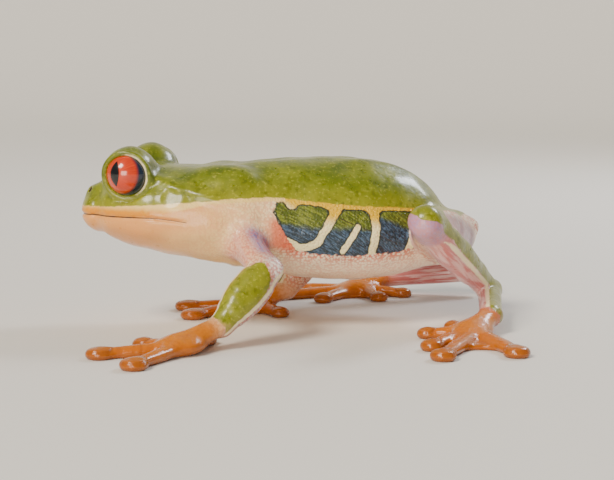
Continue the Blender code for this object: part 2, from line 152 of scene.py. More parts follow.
def trunk_shape(x, y, z):
    """Distance to the sleeve of head and trunk: each section is a squared ellipse with unlike upper
    and lower halves, and the ends are rounded by adding the distance past them in its own unit."""
    along, aside = spine_place(x, y)
    half, middle, top, bottom = (np.interp(along, SECTION_PLACES, curve) for curve in SECTION_CURVES)
    rise = np.where(z > middle, top - middle, middle - bottom)
    powers = np.abs(aside / half) ** SQUARENESS + np.abs((z - middle) / rise) ** SQUARENESS
    before = np.maximum(SECTION_ROWS[0][0] - along, 0)
    behind = np.maximum(along - SECTION_ROWS[-1][0], 0)
    around = powers ** (2 / SQUARENESS)
    ratio = np.sqrt(around + (before / SNOUT_CAP) ** 2 + (behind / VENT_CAP) ** 2) + 1e-6
    reach = np.sqrt(aside**2 + (z - middle) ** 2 + before**2 + behind**2)
    return reach - reach / ratio


def ball_shape(centre, sizes, turn=0.0):
    """Distance to an ellipsoid, nearly: how far out in its own units, scaled by its local slope."""
    sizes = np.broadcast_to(np.asarray(sizes, float), 3)
    c, s = math.cos(turn), math.sin(turn)

    def shape(x, y, z):
        x, y, z = x - centre[0], y - centre[1], z - centre[2]
        u, v, w = (x * c + y * s) / sizes[0], (y * c - x * s) / sizes[1], z / sizes[2]
        level = np.sqrt(u**2 + v**2 + w**2) + 1e-9
        slope = np.sqrt((u / sizes[0]) ** 2 + (v / sizes[1]) ** 2 + (w / sizes[2]) ** 2) + 1e-9
        return level * (level - 1) / slope

    return centre - max(sizes), centre + max(sizes), shape


def about_axis(centre, outward, x, y, z):
    """How far along an axis through a centre, how far from the axis, and how far from the centre."""
    x, y, z = x - centre[0], y - centre[1], z - centre[2]
    axial = x * outward[0] + y * outward[1] + z * outward[2]
    square = x**2 + y**2 + z**2
    return axial, np.sqrt(np.maximum(square - axial**2, 0)), np.sqrt(square)


def ring_shape(centre, outward, radius, wire):
    """Distance to a round wire ring: across the ring's plane and along its axis, less the wire."""

    def shape(x, y, z):
        axial, radial, _ = about_axis(centre, outward, x, y, z)
        return np.hypot(radial - radius, axial) - wire

    return centre - radius - wire, centre + radius + wire, shape


def cone_shape(tip, outward, spread, reach):
    """Distance to the part of a cone inside a ball about its tip; spread is the cone's half angle."""

    def shape(x, y, z):
        axial, radial, away = about_axis(tip, outward, x, y, z)
        return np.maximum(radial * math.cos(spread) - axial * math.sin(spread), away - reach)

    return tip - reach, tip + reach, shape


def on_piece(start, end, *place):
    """The nearest spot on a straight piece to each place: the share of the way along it, and how far
    off that spot the place lies on each axis."""
    way = np.subtract(end, start)
    off = [v - first for v, first in zip(place, start)]
    t = np.clip(sum(v * w for v, w in zip(off, way)) / way.dot(way), 0, 1)
    return t, [v - t * w for v, w in zip(off, way)]


def tube_shape(path, radii, depth=1.0):
    """Distance to a round tube along a path of points: for each straight piece the nearest place on
    it less the radius there, smallest of all. depth squeezes the section from above, and the distance
    is scaled to suit."""
    path, radii = np.asarray(path), np.asarray(radii)

    def shape(x, y, z):
        best = np.full(x.shape, FAR * 2)
        for start, end, r0, r1 in zip(path, path[1:], radii, radii[1:]):
            t, (dx, dy, dz) = on_piece(start, end, x, y, z)
            best = np.minimum(best, np.sqrt(dx**2 + dy**2 + (dz / depth) ** 2) - r0 - (r1 - r0) * t)
        return best * (0.5 + 0.5 * depth)

    return path.min(axis=0) - radii.max(), path.max(axis=0) + radii.max(), shape


def bell(value, width):
    """A smooth bump, one in the middle and near zero two widths away."""
    return np.exp(-((value / width) ** 2))


FLESH = []
FLESH_MARGIN = 0.9


def grow(part, box_and_shape, blend, root=None, root_blend=0.0, root_reach=5.0):
    """Adds a form to the flesh. blend is the width of the fillet where it meets what is there, and
    grows to root_blend within root_reach of its root."""
    low, high, shape = box_and_shape
    margin = max(blend, root_blend) + FLESH_MARGIN
    FLESH.append((part, low - margin, high + margin, shape, blend, root, root_blend, root_reach))


TRUNK_BOX = (np.array((-37.0, -14.0, 5.5)), np.array((27.0, 23.0, 27.5)))
grow("trunk", (*TRUNK_BOX, trunk_shape), 0.0)

# The eyes sit where the solids have them, so the sockets and lids are placed from their boxes
SIDES = {"left": -1.0, "right": 1.0}
EYE_BOX = {side: [np.array(corner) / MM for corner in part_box("eye_" + side)] for side in SIDES}
EYE_CENTRE = {side: (low + high) / 2 for side, (low, high) in EYE_BOX.items()}
EYE_RADIUS = float((EYE_BOX["left"][1] - EYE_BOX["left"][0]).max() / 2)
EYE_ALONG = 9.2
SOCKET = {"depth": 0.85, "fillet": 0.05}
LID = {"out": 1.5, "ring": 3.5, "wire": 0.38, "droop": 0.12, "room": 1.1, "edge": 0.5, "fillet": 0.7}

# Places are along the spine, aside from it, and up
BROW = {"radius": 4.15, "inset": 1.0, "fillet": 1.6}
BRIDGE = {"ends": ((7.2, 5.3, 23.1), (2.4, 2.4, 20.7)), "radii": (1.25, 1.125), "fillet": 1.2}
NOSTRIL = {"at": (2.1, 3.1, 21.05), "sizes": (0.62, 0.45, 0.40), "turn": 0.6, "fillet": 0.4}
BLADE = {"at": (22.6, 5.6, 20.9), "sizes": (5.2, 3.1, 4.1), "fillet": 2.6}
VENT = {"at": (62.4, 0.0, 14.6), "sizes": (1.5, 1.5, 1.3), "fillet": 1.4}
CARVED = []
LIDS = []
LID_AXES = {}
NOSTRILS = []

for side, sign in SIDES.items():
    centre = EYE_CENTRE[side]
    inward = unit(spine_point((EYE_ALONG, 0.0, centre[2])) - centre)
    grow("trunk", ball_shape(centre + inward * BROW["inset"], BROW["radius"]), BROW["fillet"])
    outward = unit(-inward - np.array((0, 0, LID["droop"])))
    LID_AXES[side] = outward
    ring = ring_shape(centre + outward * LID["out"], outward, LID["ring"], LID["wire"])
    LIDS.append((*ring, LID["fillet"], 1))
    bridge = [spine_point(end, sign) for end in BRIDGE["ends"]]
    grow("trunk", tube_shape(bridge, BRIDGE["radii"]), BRIDGE["fillet"])
    spread = math.atan2(LID["ring"] - LID["wire"] / 2, LID["out"])
    pit = spine_point(NOSTRIL["at"], sign)
    NOSTRILS.append(pit)
    for hole, fillet in (
        (ball_shape(centre, EYE_RADIUS - SOCKET["depth"]), SOCKET["fillet"]),
        (cone_shape(centre, outward, spread, EYE_RADIUS + LID["room"]), LID["edge"]),
        (ball_shape(pit, NOSTRIL["sizes"], -sign * NOSTRIL["turn"]), NOSTRIL["fillet"]),
    ):
        CARVED.append((*hole, fillet, -1))
    grow("trunk", ball_shape(spine_point(BLADE["at"], sign), BLADE["sizes"], HEAD_YAW), BLADE["fillet"])
grow("trunk", ball_shape(spine_point(VENT["at"]), VENT["sizes"]), VENT["fillet"])

# Limbs
# In life each limb is muscle under loose skin: a thin upper arm, a thick forearm, a long thigh and
# shank folded together, and the slim tarsus. Skin webs them to the trunk at shoulder and hip.
SHOULDER = {"left": (-9.6, -5.6, 15.0), "right": (-12.4, 8.6, 15.0)}
ELBOW = {"left": (-3.4, -14.4, 10.5), "right": (-1.6, 20.2, 11.8)}
WRIST = {"left": (-8.4, -20.9, 3.4), "right": (-6.6, 15.4, 3.4)}
HIP = {"left": (20.6, 9.0, 13.2), "right": (17.1, 16.6, 13.2)}
KNEE = {"left": (19.4, -9.2, 17.5), "right": (3.4, 29.0, 20.5)}
HEEL = {"left": (27.4, 13.6, 4.4), "right": (23.2, 37.0, 4.4)}
ANKLE = {"left": (28.6, -1.2, 2.8), "right": (7.4, 37.4, 2.8)}
# Each row: name, the two joints, radii along it, its fillet, its root's fillet and how far that reaches
LIMBS = (
    ("upper_arm", SHOULDER, ELBOW, (3.0, 2.8, 2.5, 2.3, 2.2), 0.5, 2.6, 9.0),
    ("forearm", ELBOW, WRIST, (2.3, 2.9, 2.9, 2.4, 1.8), 0.5, 1.0, 4.0),
    ("thigh", HIP, KNEE, (4.1, 4.1, 3.7, 3.0, 2.35), 0.5, 3.0, 9.0),
    ("shank", KNEE, HEEL, (2.2, 2.7, 2.6, 2.1, 1.8), 0.45, 1.6, 4.0),
    ("tarsus", HEEL, ANKLE, (1.8, 1.85, 1.8, 1.75, 1.75), 0.45, 1.0, 4.0),
)
LIMB_AXES = {}


def limb_path(start, end, radii, count=9):
    """Even points from start to end, and a radius at each, on a cubic through a few."""
    t = np.linspace(0, 1, count)
    rows = np.column_stack((np.linspace(0, 1, len(radii)), radii))
    return start + (end - start) * t[:, None], through(rows, t)[0]


for side in SIDES:
    for part, roots, ends, radii, fillet, root_fillet, reach in LIMBS:
        root, end = np.array(roots[side]), np.array(ends[side])
        grow(part, tube_shape(*limb_path(root, end, radii)), fillet, root, root_fillet, reach)
        LIMB_AXES[part, side] = (root, end, float(np.mean(radii)))

# At elbow and heel the skin stands out in a small pale tip, on the far side of the bend
TIP_RADIUS = 0.75
TIP_FILLET = 1.3
BENDS = (("forearm", SHOULDER, ELBOW, WRIST, 1.9), ("tarsus", KNEE, HEEL, ANKLE, 1.5))
TIPS = []
for side in SIDES:
    for part, *joints, reach in BENDS:
        before, middle, after = (np.array(joint[side]) for joint in joints)
        TIPS.append(middle + unit(2 * middle - before - after) * reach)
        grow(part, ball_shape(TIPS[-1], TIP_RADIUS), TIP_FILLET)

# Hands and feet
# In life: soft orange skin over thin finger bones, a padded palm, round sticky discs at the tips and
# a thin web. They lie flat and spread, so the discs, palms and webs are cut level with the floor.
# Each has its middle, then each digit's root, its disc's centre and radius, and the web's length on it
PALMS = {
    "hand_left": (
        (-13.1, -25.9),
        ((-11.6, -22.8), (-11.4, -18.0), 1.55, 2.4),
        ((-15.0, -25.3), (-19.4, -22.8), 1.70, 2.5),
        ((-14.6, -27.6), (-23.2, -31.1), 2.00, 3.7),
        ((-13.4, -28.4), (-16.2, -37.4), 2.00, 3.6),
    ),
    "hand_right": (
        (-11.6, 12.3),
        ((-9.4, 11.2), (-5.9, 7.6), 1.50, 2.1),
        ((-11.6, 10.4), (-13.4, 4.5), 2.00, 2.4),
        ((-13.2, 10.8), (-19.3, 3.2), 2.05, 4.6),
        ((-14.2, 12.5), (-22.6, 11.8), 2.15, 3.6),
    ),
    "foot_left": (
        (26.2, -6.6),
        ((25.4, -4.2), (22.8, 0.0), 1.45, 1.7),
        ((24.2, -6.7), (19.5, -6.8), 1.50, 1.7),
        ((24.7, -9.0), (21.3, -16.4), 1.70, 4.2),
        ((26.6, -9.6), (23.6, -23.3), 1.87, 8.0),
        ((28.2, -9.2), (33.4, -18.9), 1.95, 7.4),
    ),
    "foot_right": (
        (2.6, 33.2),
        ((6.0, 33.3), (11.0, 32.4), 1.50, 1.9),
        ((4.5, 31.8), (7.4, 27.2), 1.60, 2.1),
        ((1.2, 31.0), (-1.8, 23.9), 1.65, 4.0),
        ((-0.6, 31.6), (-10.7, 24.3), 1.95, 7.0),
        ((-1.0, 33.6), (-9.5, 35.6), 1.95, 4.5),
    ),
}
WRIST_RADII = (1.65, 1.75, 1.8)
WRIST_DEPTH = 0.85
PALM_CUSHION = {"hand": (3.7, 3.3, 1.5), "foot": (3.8, 3.0, 1.4)}
PALM_HEIGHT = 1.25
BONE_START = 0.35
DIGIT_RADIUS = 1.22
DIGIT_DEPTH = 0.8
DIGIT_HEIGHT = 0.916
DIGIT_WAIST = (1, 1, 1, 1, 1, 1, 1, 0.95, 0.9, 0.86, 0.80, 0.55)
PAD_EDGE = 0.64
PAD_DOME = 0.42
DOME_WIDTH = 0.7
PAD_HEIGHT = 0.6
WEB_BOTTOM = 0.02
WEB_THICKNESS = 0.72
WEB_DIP = {"hand": 0.5, "foot": 0.3}
FILLETS = {"wrist": 0.7, "palm": 1.2, "digit": 0.9, "disc": 0.6, "web": 0.5}


def line_distance(u, v, points):
    """Distance in a plane to a line of straight pieces: the nearest place on each, smallest of all."""
    pieces = zip(points, points[1:])
    return np.min([np.hypot(*on_piece(start, end, u, v)[1]) for start, end in pieces], axis=0)


def plate_shape(outline, bottom, thickness):
    """Distance to a flat plate: the signed distance to its outline in plan, joined with the distance
    above or below it. Inside and outside of the outline are told by counting crossings."""
    outline = np.vstack((outline, outline[:1]))
    middle = bottom + thickness / 2

    def shape(x, y, z):
        inside = np.zeros(x.shape, bool)
        for start, end in zip(outline, outline[1:]):
            way = end - start
            spans = (start[1] > y) != (end[1] > y)
            inside ^= spans & (x - start[0] < way[0] * (y - start[1]) / (way[1] or 1.0))
        flat = np.where(inside, -1, 1) * line_distance(x, y, outline)
        return np.maximum(flat, np.abs(z - middle) - thickness / 2)

    low, high = outline.min(axis=0), outline.max(axis=0)
    return np.array((*low, bottom)), np.array((*high, bottom + thickness)), shape


def disc_shape(centre, radius):
    """Distance to a flat round disc with a rounded edge, whose upper side swells to a low dome."""

    def shape(x, y, z):
        radial, z = np.hypot(x - centre[0], y - centre[1]), z - centre[2]
        stretch = np.where(z > 0, 1 + PAD_DOME / PAD_EDGE * bell(radial, radius * DOME_WIDTH), 1.0)
        return np.hypot(np.maximum(radial - radius + PAD_EDGE, 0), z / stretch) - PAD_EDGE

    reach = np.array((radius, radius, PAD_EDGE + PAD_DOME))
    return centre - reach, centre + reach, shape


def arc(start, pull, end, t):
    """A curve from start to end, drawn towards a third point: (1-t)^2, 2t(1-t) and t^2 of the three."""
    t = t[:, None]
    return start * (1 - t) ** 2 + pull * 2 * t * (1 - t) + end * t**2


PADS = []
DIGITS = []
for name, (middle, *digits) in PALMS.items():
    kind, side = name.split("_")
    wrist = np.array(WRIST[side] if kind == "hand" else ANKLE[side])
    middle = np.array((*middle, PALM_HEIGHT))
    grow(kind, tube_shape(*limb_path(wrist, middle, WRIST_RADII), WRIST_DEPTH), FILLETS["wrist"])
    turn = math.atan2(middle[1] - wrist[1], middle[0] - wrist[0])
    grow(kind, ball_shape(middle, PALM_CUSHION[kind], turn), FILLETS["palm"])
    corners = []
    for root, pad, pad_radius, webbed in digits:
        root = np.array((*root, DIGIT_HEIGHT))
        pad = np.array((*pad, PAD_HEIGHT))
        web_end = root + unit(pad - root) * webbed
        corners.append(web_end[:2])
        inner = middle + (root - middle) * BONE_START
        inner[2] = root[2]
        straight = web_end + (pad - web_end) * np.linspace(0.2, 1, 5)[:, None]
        path = np.vstack((arc(inner, root, web_end, np.linspace(0, 1, 7)), straight))
        grow(kind, tube_shape(path, DIGIT_RADIUS * np.array(DIGIT_WAIST), DIGIT_DEPTH), FILLETS["digit"])
        grow(kind, disc_shape(pad, pad_radius), FILLETS["disc"])
        PADS.append((pad, pad_radius))
        DIGITS.append(path)
    outline = [middle[:2]]
    for start, end in zip(corners, corners[1:]):
        low = (start + end) / 2
        low = low + (middle[:2] - low) * WEB_DIP[kind]
        outline.extend(arc(start, low, end, np.linspace(0, 1, 9)[:-1]))
    outline.append(corners[-1])
    grow(kind, plate_shape(outline, WEB_BOTTOM, WEB_THICKNESS), FILLETS["web"])

# Folds of the skin
# In life the mouth is a long closed slit, the ear a flat drum in a low ring behind the eye, and a
# fold of skin runs from the eye over the drum to the shoulder. All are shallow forms in the skin.
MOUTH = {"height": 17.6, "corner": 18.5, "bend": 12.0, "droop": 0.014, "width": 0.24, "depth": 0.42}
EAR = {"along": 16.3, "height": 20.6, "ring": 1.45, "wire": 0.45, "rise": 0.07, "sink": 0.06}
FOLD = {"rise": 0.42, "width": 0.8}
FOLD_LINE = ((12.6, 24.0), (15.5, 22.9), (18.5, 21.9), (22.0, 20.2), (25.5, 18.0))
HEAD_SIDES = 6.0
HEAD_FADE = 1.5
FURROW = {"depth": 0.28, "width": 1.5, "start": 12.0}
HIPS = {"rise": 0.30, "width": 1.3, "start": 36.0, "end": 60.0, "aside": 11.46, "narrowing": 0.17}
BACK = {"over_middle": 2.0, "fade": 4.0, "end_fade": 6.0}
WRINKLES = {"place": 24.0, "spread": 4.0, "step": 2.3, "lean": 0.35, "depth": 0.09, "top": 1.0, "fade": 3.0}
SLACK = 0.11
SLACK_WAVES = ((1.13, 0.61, 0.0, 0.0), (0.0, 1.37, -0.83, 1.7), (-0.74, 0.0, 1.21, 0.6))
SLACK_START = 2.0
SLACK_FADE = 4.0
HEAD_BOX = ((-37, -14, 10), (-5, 13, 29))
BONES_BOX = ((-26, -14, 5), (27, 23, 28))


def share_of(value, width):
    """A straight step from 0 to 1 as a value goes from 0 to a width."""
    return np.clip(value / width, 0, 1)


def mouth_line(along):
    """Height of the slit: level, then curving down a little behind the eye towards its corner."""
    return MOUTH["height"] - MOUTH["droop"] * np.maximum(along - MOUTH["bend"], 0) ** 2


def folds(x, y, z):
    """How far the skin is drawn in at the mouth and drum, and out at the drum's ring and the fold:
    bells of the distance from each line."""
    along, aside = spine_place(x, y)
    deep = MOUTH["depth"] * bell(z - mouth_line(along), MOUTH["width"])
    from_drum = np.hypot(along - EAR["along"], z - EAR["height"])
    raised = FOLD["rise"] * bell(line_distance(along, z, FOLD_LINE), FOLD["width"])
    raised += EAR["rise"] * bell(from_drum - EAR["ring"], EAR["wire"])
    raised -= EAR["sink"] * share_of(EAR["ring"] - from_drum, EAR["ring"]) ** 0.5
    raised = raised * share_of(np.abs(aside) - HEAD_SIDES, HEAD_FADE)
    return deep * share_of(MOUTH["corner"] - along, HEAD_FADE) - raised


def bones_under_skin(x, y, z):
    """How far the trunk's skin is drawn in along the backbone and in the wrinkles of neck and chest,
    and out over the two hip bones, which run together towards the vent."""
    along, aside = spine_place(x, y)
    middle = np.interp(along, SECTION_PLACES, SECTION_CURVES[1])
    furrow = FURROW["depth"] * bell(aside, FURROW["width"])
    furrow = furrow * share_of(along - FURROW["start"], BACK["end_fade"])
    hips = HIPS["rise"] * bell(np.abs(aside) - HIPS["aside"] + HIPS["narrowing"] * along, HIPS["width"])
    hips = hips * share_of(along - HIPS["start"], BACK["end_fade"])
    hips = hips * share_of(HIPS["end"] - along, BACK["fade"])
    on_back = share_of(z - middle - BACK["over_middle"], BACK["fade"])
    wave = np.sin((along + z * WRINKLES["lean"]) * 2 * math.pi / WRINKLES["step"])
    wave = wave * bell(along - WRINKLES["place"], WRINKLES["spread"])
    on_chest = share_of(middle + WRINKLES["top"] - z, WRINKLES["fade"])
    return (furrow - hips) * on_back + WRINKLES["depth"] * wave * on_chest


def slack(x, y, z):
    """The skin's slight unevenness: the mean of waves a few millimetres long in turned directions."""
    waves = [np.sin(x * a + y * b + z * c + start) for a, b, c, start in SLACK_WAVES]
    return SLACK * np.mean(waves, axis=0)


def smooth_union(a, b, blend):
    """The smaller of two distances, lowered by a parabola where they are within blend of each other."""
    overlap = np.maximum(blend - np.abs(a - b), 0)
    return np.minimum(a, b) - overlap**2 / (4 * np.maximum(blend, 1e-6))


def within(low, high, *place):
    """Which places lie inside a box."""
    return np.logical_and.reduce([(v > a) & (v < b) for v, a, b in zip(place, low, high)])


def near_form(low, high, shape, x, y, z):
    """Which places lie in a form's box, and what the form says there."""
    near = within(low, high, x, y, z)
    return near, shape(x[near], y[near], z[near])


def skin_depth(x, y, z):
    """The skin's field, negative inside: every form joined with its fillet, then the folds drawn in
    or out, the sockets and nostrils cut out, the lids added, and all of it cut level with the floor."""
    depth = np.full(x.shape, FAR)
    for _, low, high, shape, blend, root, root_blend, root_reach in FLESH:
        near, form = near_form(low, high, shape, x, y, z)
        if root is not None:
            away = np.sqrt((x[near] - root[0]) ** 2 + (y[near] - root[1]) ** 2 + (z[near] - root[2]) ** 2)
            blend = blend + (root_blend - blend) * bell(away, root_reach)
        depth[near] = smooth_union(depth[near], form, blend)
    for low, high, drawn_in in ((*HEAD_BOX, folds), (*BONES_BOX, bones_under_skin)):
        near, deep = near_form(low, high, drawn_in, x, y, z)
        depth[near] += deep
    depth += slack(x, y, z) * share_of(z - SLACK_START, SLACK_FADE)
    for low, high, shape, blend, sign in (*CARVED, *LIDS):
        near, form = near_form(low - 1, high + 1, shape, x, y, z)
        depth[near] = sign * smooth_union(sign * depth[near], form, blend)
    return np.maximum(depth, -z)


# Making the skin's mesh
# The real skin has no seam, so its field is read on a grid and one vertex is set in each cell that
# the surface crosses. Then each vertex slides down the field's slope until it lies on the surface.
CELL = 0.45
SOLE_CELL = 0.3
SOLE_TOP = 3.3
GRID_START = (-1.13, -1.17)
GRID_FOOT = -0.47
GRID_END = 1.5
SLOPE_REACH = 0.04
LONGEST_SLIDE = 0.25
LEAST_STEEP = 0.2
# The head's and flanks' mesh is halved inside these bounds along the spine, aside and in height
FINE_HEAD = {"along": (-9, 19.5), "height": (14.5, 99), "aside": (-1, 14)}
FINE_FLANK = {"along": (27, 57), "height": (-4.6, 5.6), "aside": (6, 12.5)}

box_low, box_high = (np.array(corner) / MM for corner in cad_box)
grid_x, grid_y = (
    np.arange(box_low[axis] + GRID_START[axis], box_high[axis] + GRID_END, CELL) for axis in (0, 1)
)
grid_z = np.concatenate(
    (np.arange(GRID_FOOT, SOLE_TOP, SOLE_CELL), np.arange(SOLE_TOP + 0.1, box_high[2] + GRID_END, CELL))
)


def net(values, xs, ys, zs):
    """Surface net: a cell whose corners differ in sign gets the mean of the crossings on its edges,
    and each grid edge that the surface crosses joins its four cells in one quad."""
    inside = values < 0
    corners = [(i, j, k) for i in (0, 1) for j in (0, 1) for k in (0, 1)]
    count = np.zeros([size - 1 for size in inside.shape], np.int8)
    for corner in corners:
        count += inside[tuple(slice(c, c - 1 or None) for c in corner)]
    ci, cj, ck = np.nonzero((count > 0) & (count < 8))
    level = {c: values[ci + c[0], cj + c[1], ck + c[2]] for c in corners}
    place = {c: np.column_stack((xs[ci + c[0]], ys[cj + c[1]], zs[ck + c[2]])) for c in corners}
    total, crossings = np.zeros((len(ci), 3)), np.zeros(len(ci))
    for a in corners:
        for b in corners:
            if sum(b) - sum(a) != 1 or any(q < p for p, q in zip(a, b)):
                continue
            cut = (level[a] < 0) != (level[b] < 0)
            t = np.where(cut, level[a] / np.where(cut, level[a] - level[b], 1), 0)[:, None]
            total += np.where(cut[:, None], place[a] + (place[b] - place[a]) * t, 0)
            crossings += cut
    index = np.full(count.shape, -1, np.int64)
    index[ci, cj, ck] = np.arange(len(ci))
    quads = []
    for axis in range(3):
        ahead = [slice(None)] * 3
        back = [slice(None)] * 3
        ahead[axis], back[axis] = slice(1, None), slice(None, -1)
        first, second = inside[tuple(back)], inside[tuple(ahead)]
        here = np.argwhere(first != second)
        u, v = (np.eye(3, dtype=int)[(axis + n) % 3] for n in (1, 2))
        ring = [here - u - v, here - v, here, here - u]
        quad = np.column_stack([index[tuple(cell.T)] for cell in ring])
        quads.append(np.where(first[tuple(here.T)][:, None], quad, quad[:, ::-1]))
    return total / crossings[:, None], np.vstack(quads)


def slide(points, rounds):
    """Moves points onto the surface: each step is the field's value along its slope, and the slope
    is worked out from six readings a little way off."""
    for _ in range(rounds):
        value = skin_depth(*points.T)
        slope = np.empty_like(points)
        for axis in range(3):
            shift = np.zeros(3)
            shift[axis] = SLOPE_REACH
            slope[:, axis] = skin_depth(*(points + shift).T) - skin_depth(*(points - shift).T)
        slope /= 2 * SLOPE_REACH
        steep = np.maximum((slope**2).sum(axis=1), LEAST_STEEP)
        points = points - np.clip(value / steep, -LONGEST_SLIDE, LONGEST_SLIDE)[:, None] * slope
    points[:, 2] = np.maximum(points[:, 2], 0)
    return points


def relax(points, quads):
    """Draws each vertex half way to the mean of its neighbours, which evens out the mesh."""
    ends = np.vstack([quads[:, [a, b]] for a, b in ((0, 1), (1, 2), (2, 3), (3, 0))])
    ends = np.vstack((ends, ends[:, ::-1]))
    near = np.bincount(ends[:, 0], minlength=len(points))
    mean = np.column_stack(
        [np.bincount(ends[:, 0], points[ends[:, 1], axis], len(points)) / near for axis in range(3)]
    )
    return points + (mean - points) * 0.5


def in_bounds(bounds, along, height, aside):
    """Which places lie between the bounds on all three measures."""
    low, high = zip(bounds["along"], bounds["height"], bounds["aside"])
    return within(low, high, along, height, np.abs(aside))


def put_in(name, data):
    """Puts an object made of this data into the scene."""
    thing = bpy.data.objects.new(name, data)
    bpy.context.scene.collection.objects.link(thing)
    return thing


grid = np.meshgrid(grid_x, grid_y, grid_z, indexing="ij")
values = skin_depth(*(axis.ravel() for axis in grid)).reshape(grid[0].shape)
points, quads = net(values, grid_x, grid_y, grid_z)
points = slide(relax(slide(points, 2), quads), 1)

data = bpy.data.meshes.new("skin")
data.from_pydata(points.tolist(), [], quads.tolist())
along, aside = spine_place(points[:, 0], points[:, 1])
middle = np.interp(along, SECTION_PLACES, SECTION_CURVES[1])
fine = in_bounds(FINE_HEAD, along, points[:, 2], aside)
fine |= in_bounds(FINE_FLANK, along, points[:, 2] - middle, aside)
mesh = bmesh.new()
mesh.from_mesh(data)
edges = [e for e in mesh.edges if fine[e.verts[0].index] and fine[e.verts[1].index]]
bmesh.ops.subdivide_edges(mesh, edges=edges, cuts=1, use_grid_fill=True)
mesh.to_mesh(data)
mesh.free()
points = np.empty(len(data.vertices) * 3)
data.vertices.foreach_get("co", points)
points = slide(points.reshape(-1, 3), 2)
data.vertices.foreach_set("co", (points * MM).ravel())
data.shade_smooth()
skin = put_in("skin", data)
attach(skin, "root")
flesh_nodes = [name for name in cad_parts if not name.startswith("eye_")]
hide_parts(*flesh_nodes)

# Markings of the skin
# In life the colours are pigment cells under a clear skin: a green back, a cream belly, blue flanks
# barred with yellow and orange hands and feet. Edges are kept as distances, so that they stay crisp.
# Lines on the flank are places along the spine, with a height or a share of the way down the flank
GREEN_EDGE = (
    (-6, 18.9), (3, 18.9), (8, 19.2), (14, 19.6), (18, 19.9), (23, 20.5), (28, 20.7), (33, 20.1),
    (40, 19.3), (47, 18.9), (53, 18.2), (58, 17.2), (66, 16.2),
)
FLANK_FOOT = ((27, 13.6), (33, 12.2), (40, 11.6), (47, 11.9), (53, 13.0), (58, 14.0))
FLANK_START = ((0.0, 29.4), (0.12, 28.5), (0.3, 28.1), (0.7, 29.6), (1.0, 31.6))
FLANK_END = 58.5
FLANK_DEPTH = 7.6
UNDER_GREEN = 0.6
TOP_LINE = {"down": 0.2, "half_width": 0.36}
FLANK_SHARE = 0.6
FLANK_STEEPNESS = 4
FRONT_RIM = 0.15
RIM_DARK = -0.12
OFF_BARS = -0.2
RIGHT_SHIFT = 0.9
BAR_FILLET = 1.5
# Each bar: its line and its half width
BARS = (
    (((31.2, 0.0), (30.9, 0.14)), 0.42),
    (((37.0, 0.0), (37.5, 0.14), (35.9, 0.52), (34.6, 0.80), (32.2, 0.93), (30.2, 0.84)), 0.58),
    (((40.9, 0.42), (38.6, 0.92)), 0.46),
    (((43.3, 0.0), (43.8, 0.42), (43.1, 1.10)), 0.64),
    (((51.4, 0.0), (50.2, 0.60), (49.1, 1.12)), 0.66),
    (((57.4, 0.36), (54.4, 1.00)), 0.50),
)
THINNESS = {"mouth": (1.4, 3.2), "panels": 2.2}
UNSEEN = 9.0
PIT_RADIUS = 0.42
PIT_REACH = 1.5
# The line of a fold across the flank's panels, where a thin painted shadow is drawn
CREASE_LINE = ((37.5, 0.24), (41.0, 0.40), (44.5, 0.60), (47.5, 0.82))
PANEL_GREEN = (
    (28, 0.50), (36, 0.50), (40, 0.44), (43, 0.50), (44.5, 0.22), (51, 0.60), (52.5, 0.12), (58, 0.05),
)
# How far outwards and upwards each limb's green side faces, and where the green begins round the limb
DORSAL = {
    "upper_arm": (0.3, 1.0, 1.6),
    "forearm": (0.6, 0.8, 0.52),
    "thigh": (0.0, 1.0, 0.84),
    "shank": (0.7, 0.7, 0.48),
    "tarsus": (0.85, 0.5, 0.40),
}
KNEE_GREEN = {"thigh": 0.15, "shank": -0.05}
# Distances from knee or tip where a marking starts and where it is full
KNEE_REACH = (6.0, 1.5)
KNEE_CAP = (4.6, 3.2)
TIP_REACH = (2.3, 1.2)
CREAM_TAPER = (2.0, 7.0)
TIP_CUT = 4.0
CREAM_WIDTH = 0.42
CREAM_SOFT = 0.1
CREAM_BELOW = 0.3
TRUNK_MIDDLE = np.array((6.0, 7.0))
LIP = {"under_slit": 0.1, "narrows": (10, 21), "width": 0.75}
LIP_END = 30
# The lid's pale edge, from front to rear
LID_EDGE = {"widths": (0.02, 0.22), "inset": 0.24, "rise": 0.26}
VENTWARD = np.array((math.cos(HEAD_YAW), math.sin(HEAD_YAW), 0.25))
PALE_FRONT = 2.6
PALE_REACH = (34.5, 27.5)
PAD_GROOVE = 0.92
PAD_SPAN = 1.9
SHARE_WIDTH = 0.45
# How much the places that streaks are drawn by are drawn together across the trunk and the digits
SQUEEZE = {"trunk": 0.35, "digit": 0.4}
UNDER_FLANK = {"width": 1.5, "start": (26, 31)}
COLOURS = {
    "throat": "DA9650", "jaw": "E29E52", "chest": "FAE09E", "belly": "FAE6C8", "belly_low": "E9BC8C",
    "axilla": "D8602F", "arm": "E2AC8C", "arm_blue": "6F68A6", "forearm": "EAC2A2", "thigh": "F0DCB8",
    "thigh_side": "94708F", "shank": "CC7A7C", "tarsus": "C4706F", "heel": "EFDCC8", "tip": "F4EAE0",
    "knee": "AA86AC", "orange": "BE6602", "orange_deep": "924C02", "orange_pale": "D07E06",
    "pad": "7E4A1C", "web": "A85804", "cream": "F4E4B4", "belly_gap": "DC9268", "flank_gap": "CC4A2C",
    "thigh_gap": "CA5526", "arm_gap": "BE4A3C",
}


def linear(code):
    """A colour of the sRGB scale, written as six hex digits, on the linear scale."""
    parts = np.array([int(code[i : i + 2], 16) / 255 for i in (0, 2, 4)])
    return np.where(parts <= 0.04045, parts / 12.92, ((parts + 0.055) / 1.055) ** 2.4)


def ramp(value, start, full):
    """A smooth step from 0 at the start to 1 where it is full, which may be the lower of the two."""
    t = np.clip((value - start) / (full - start), 0, 1)
    return t * t * (3 - 2 * t)


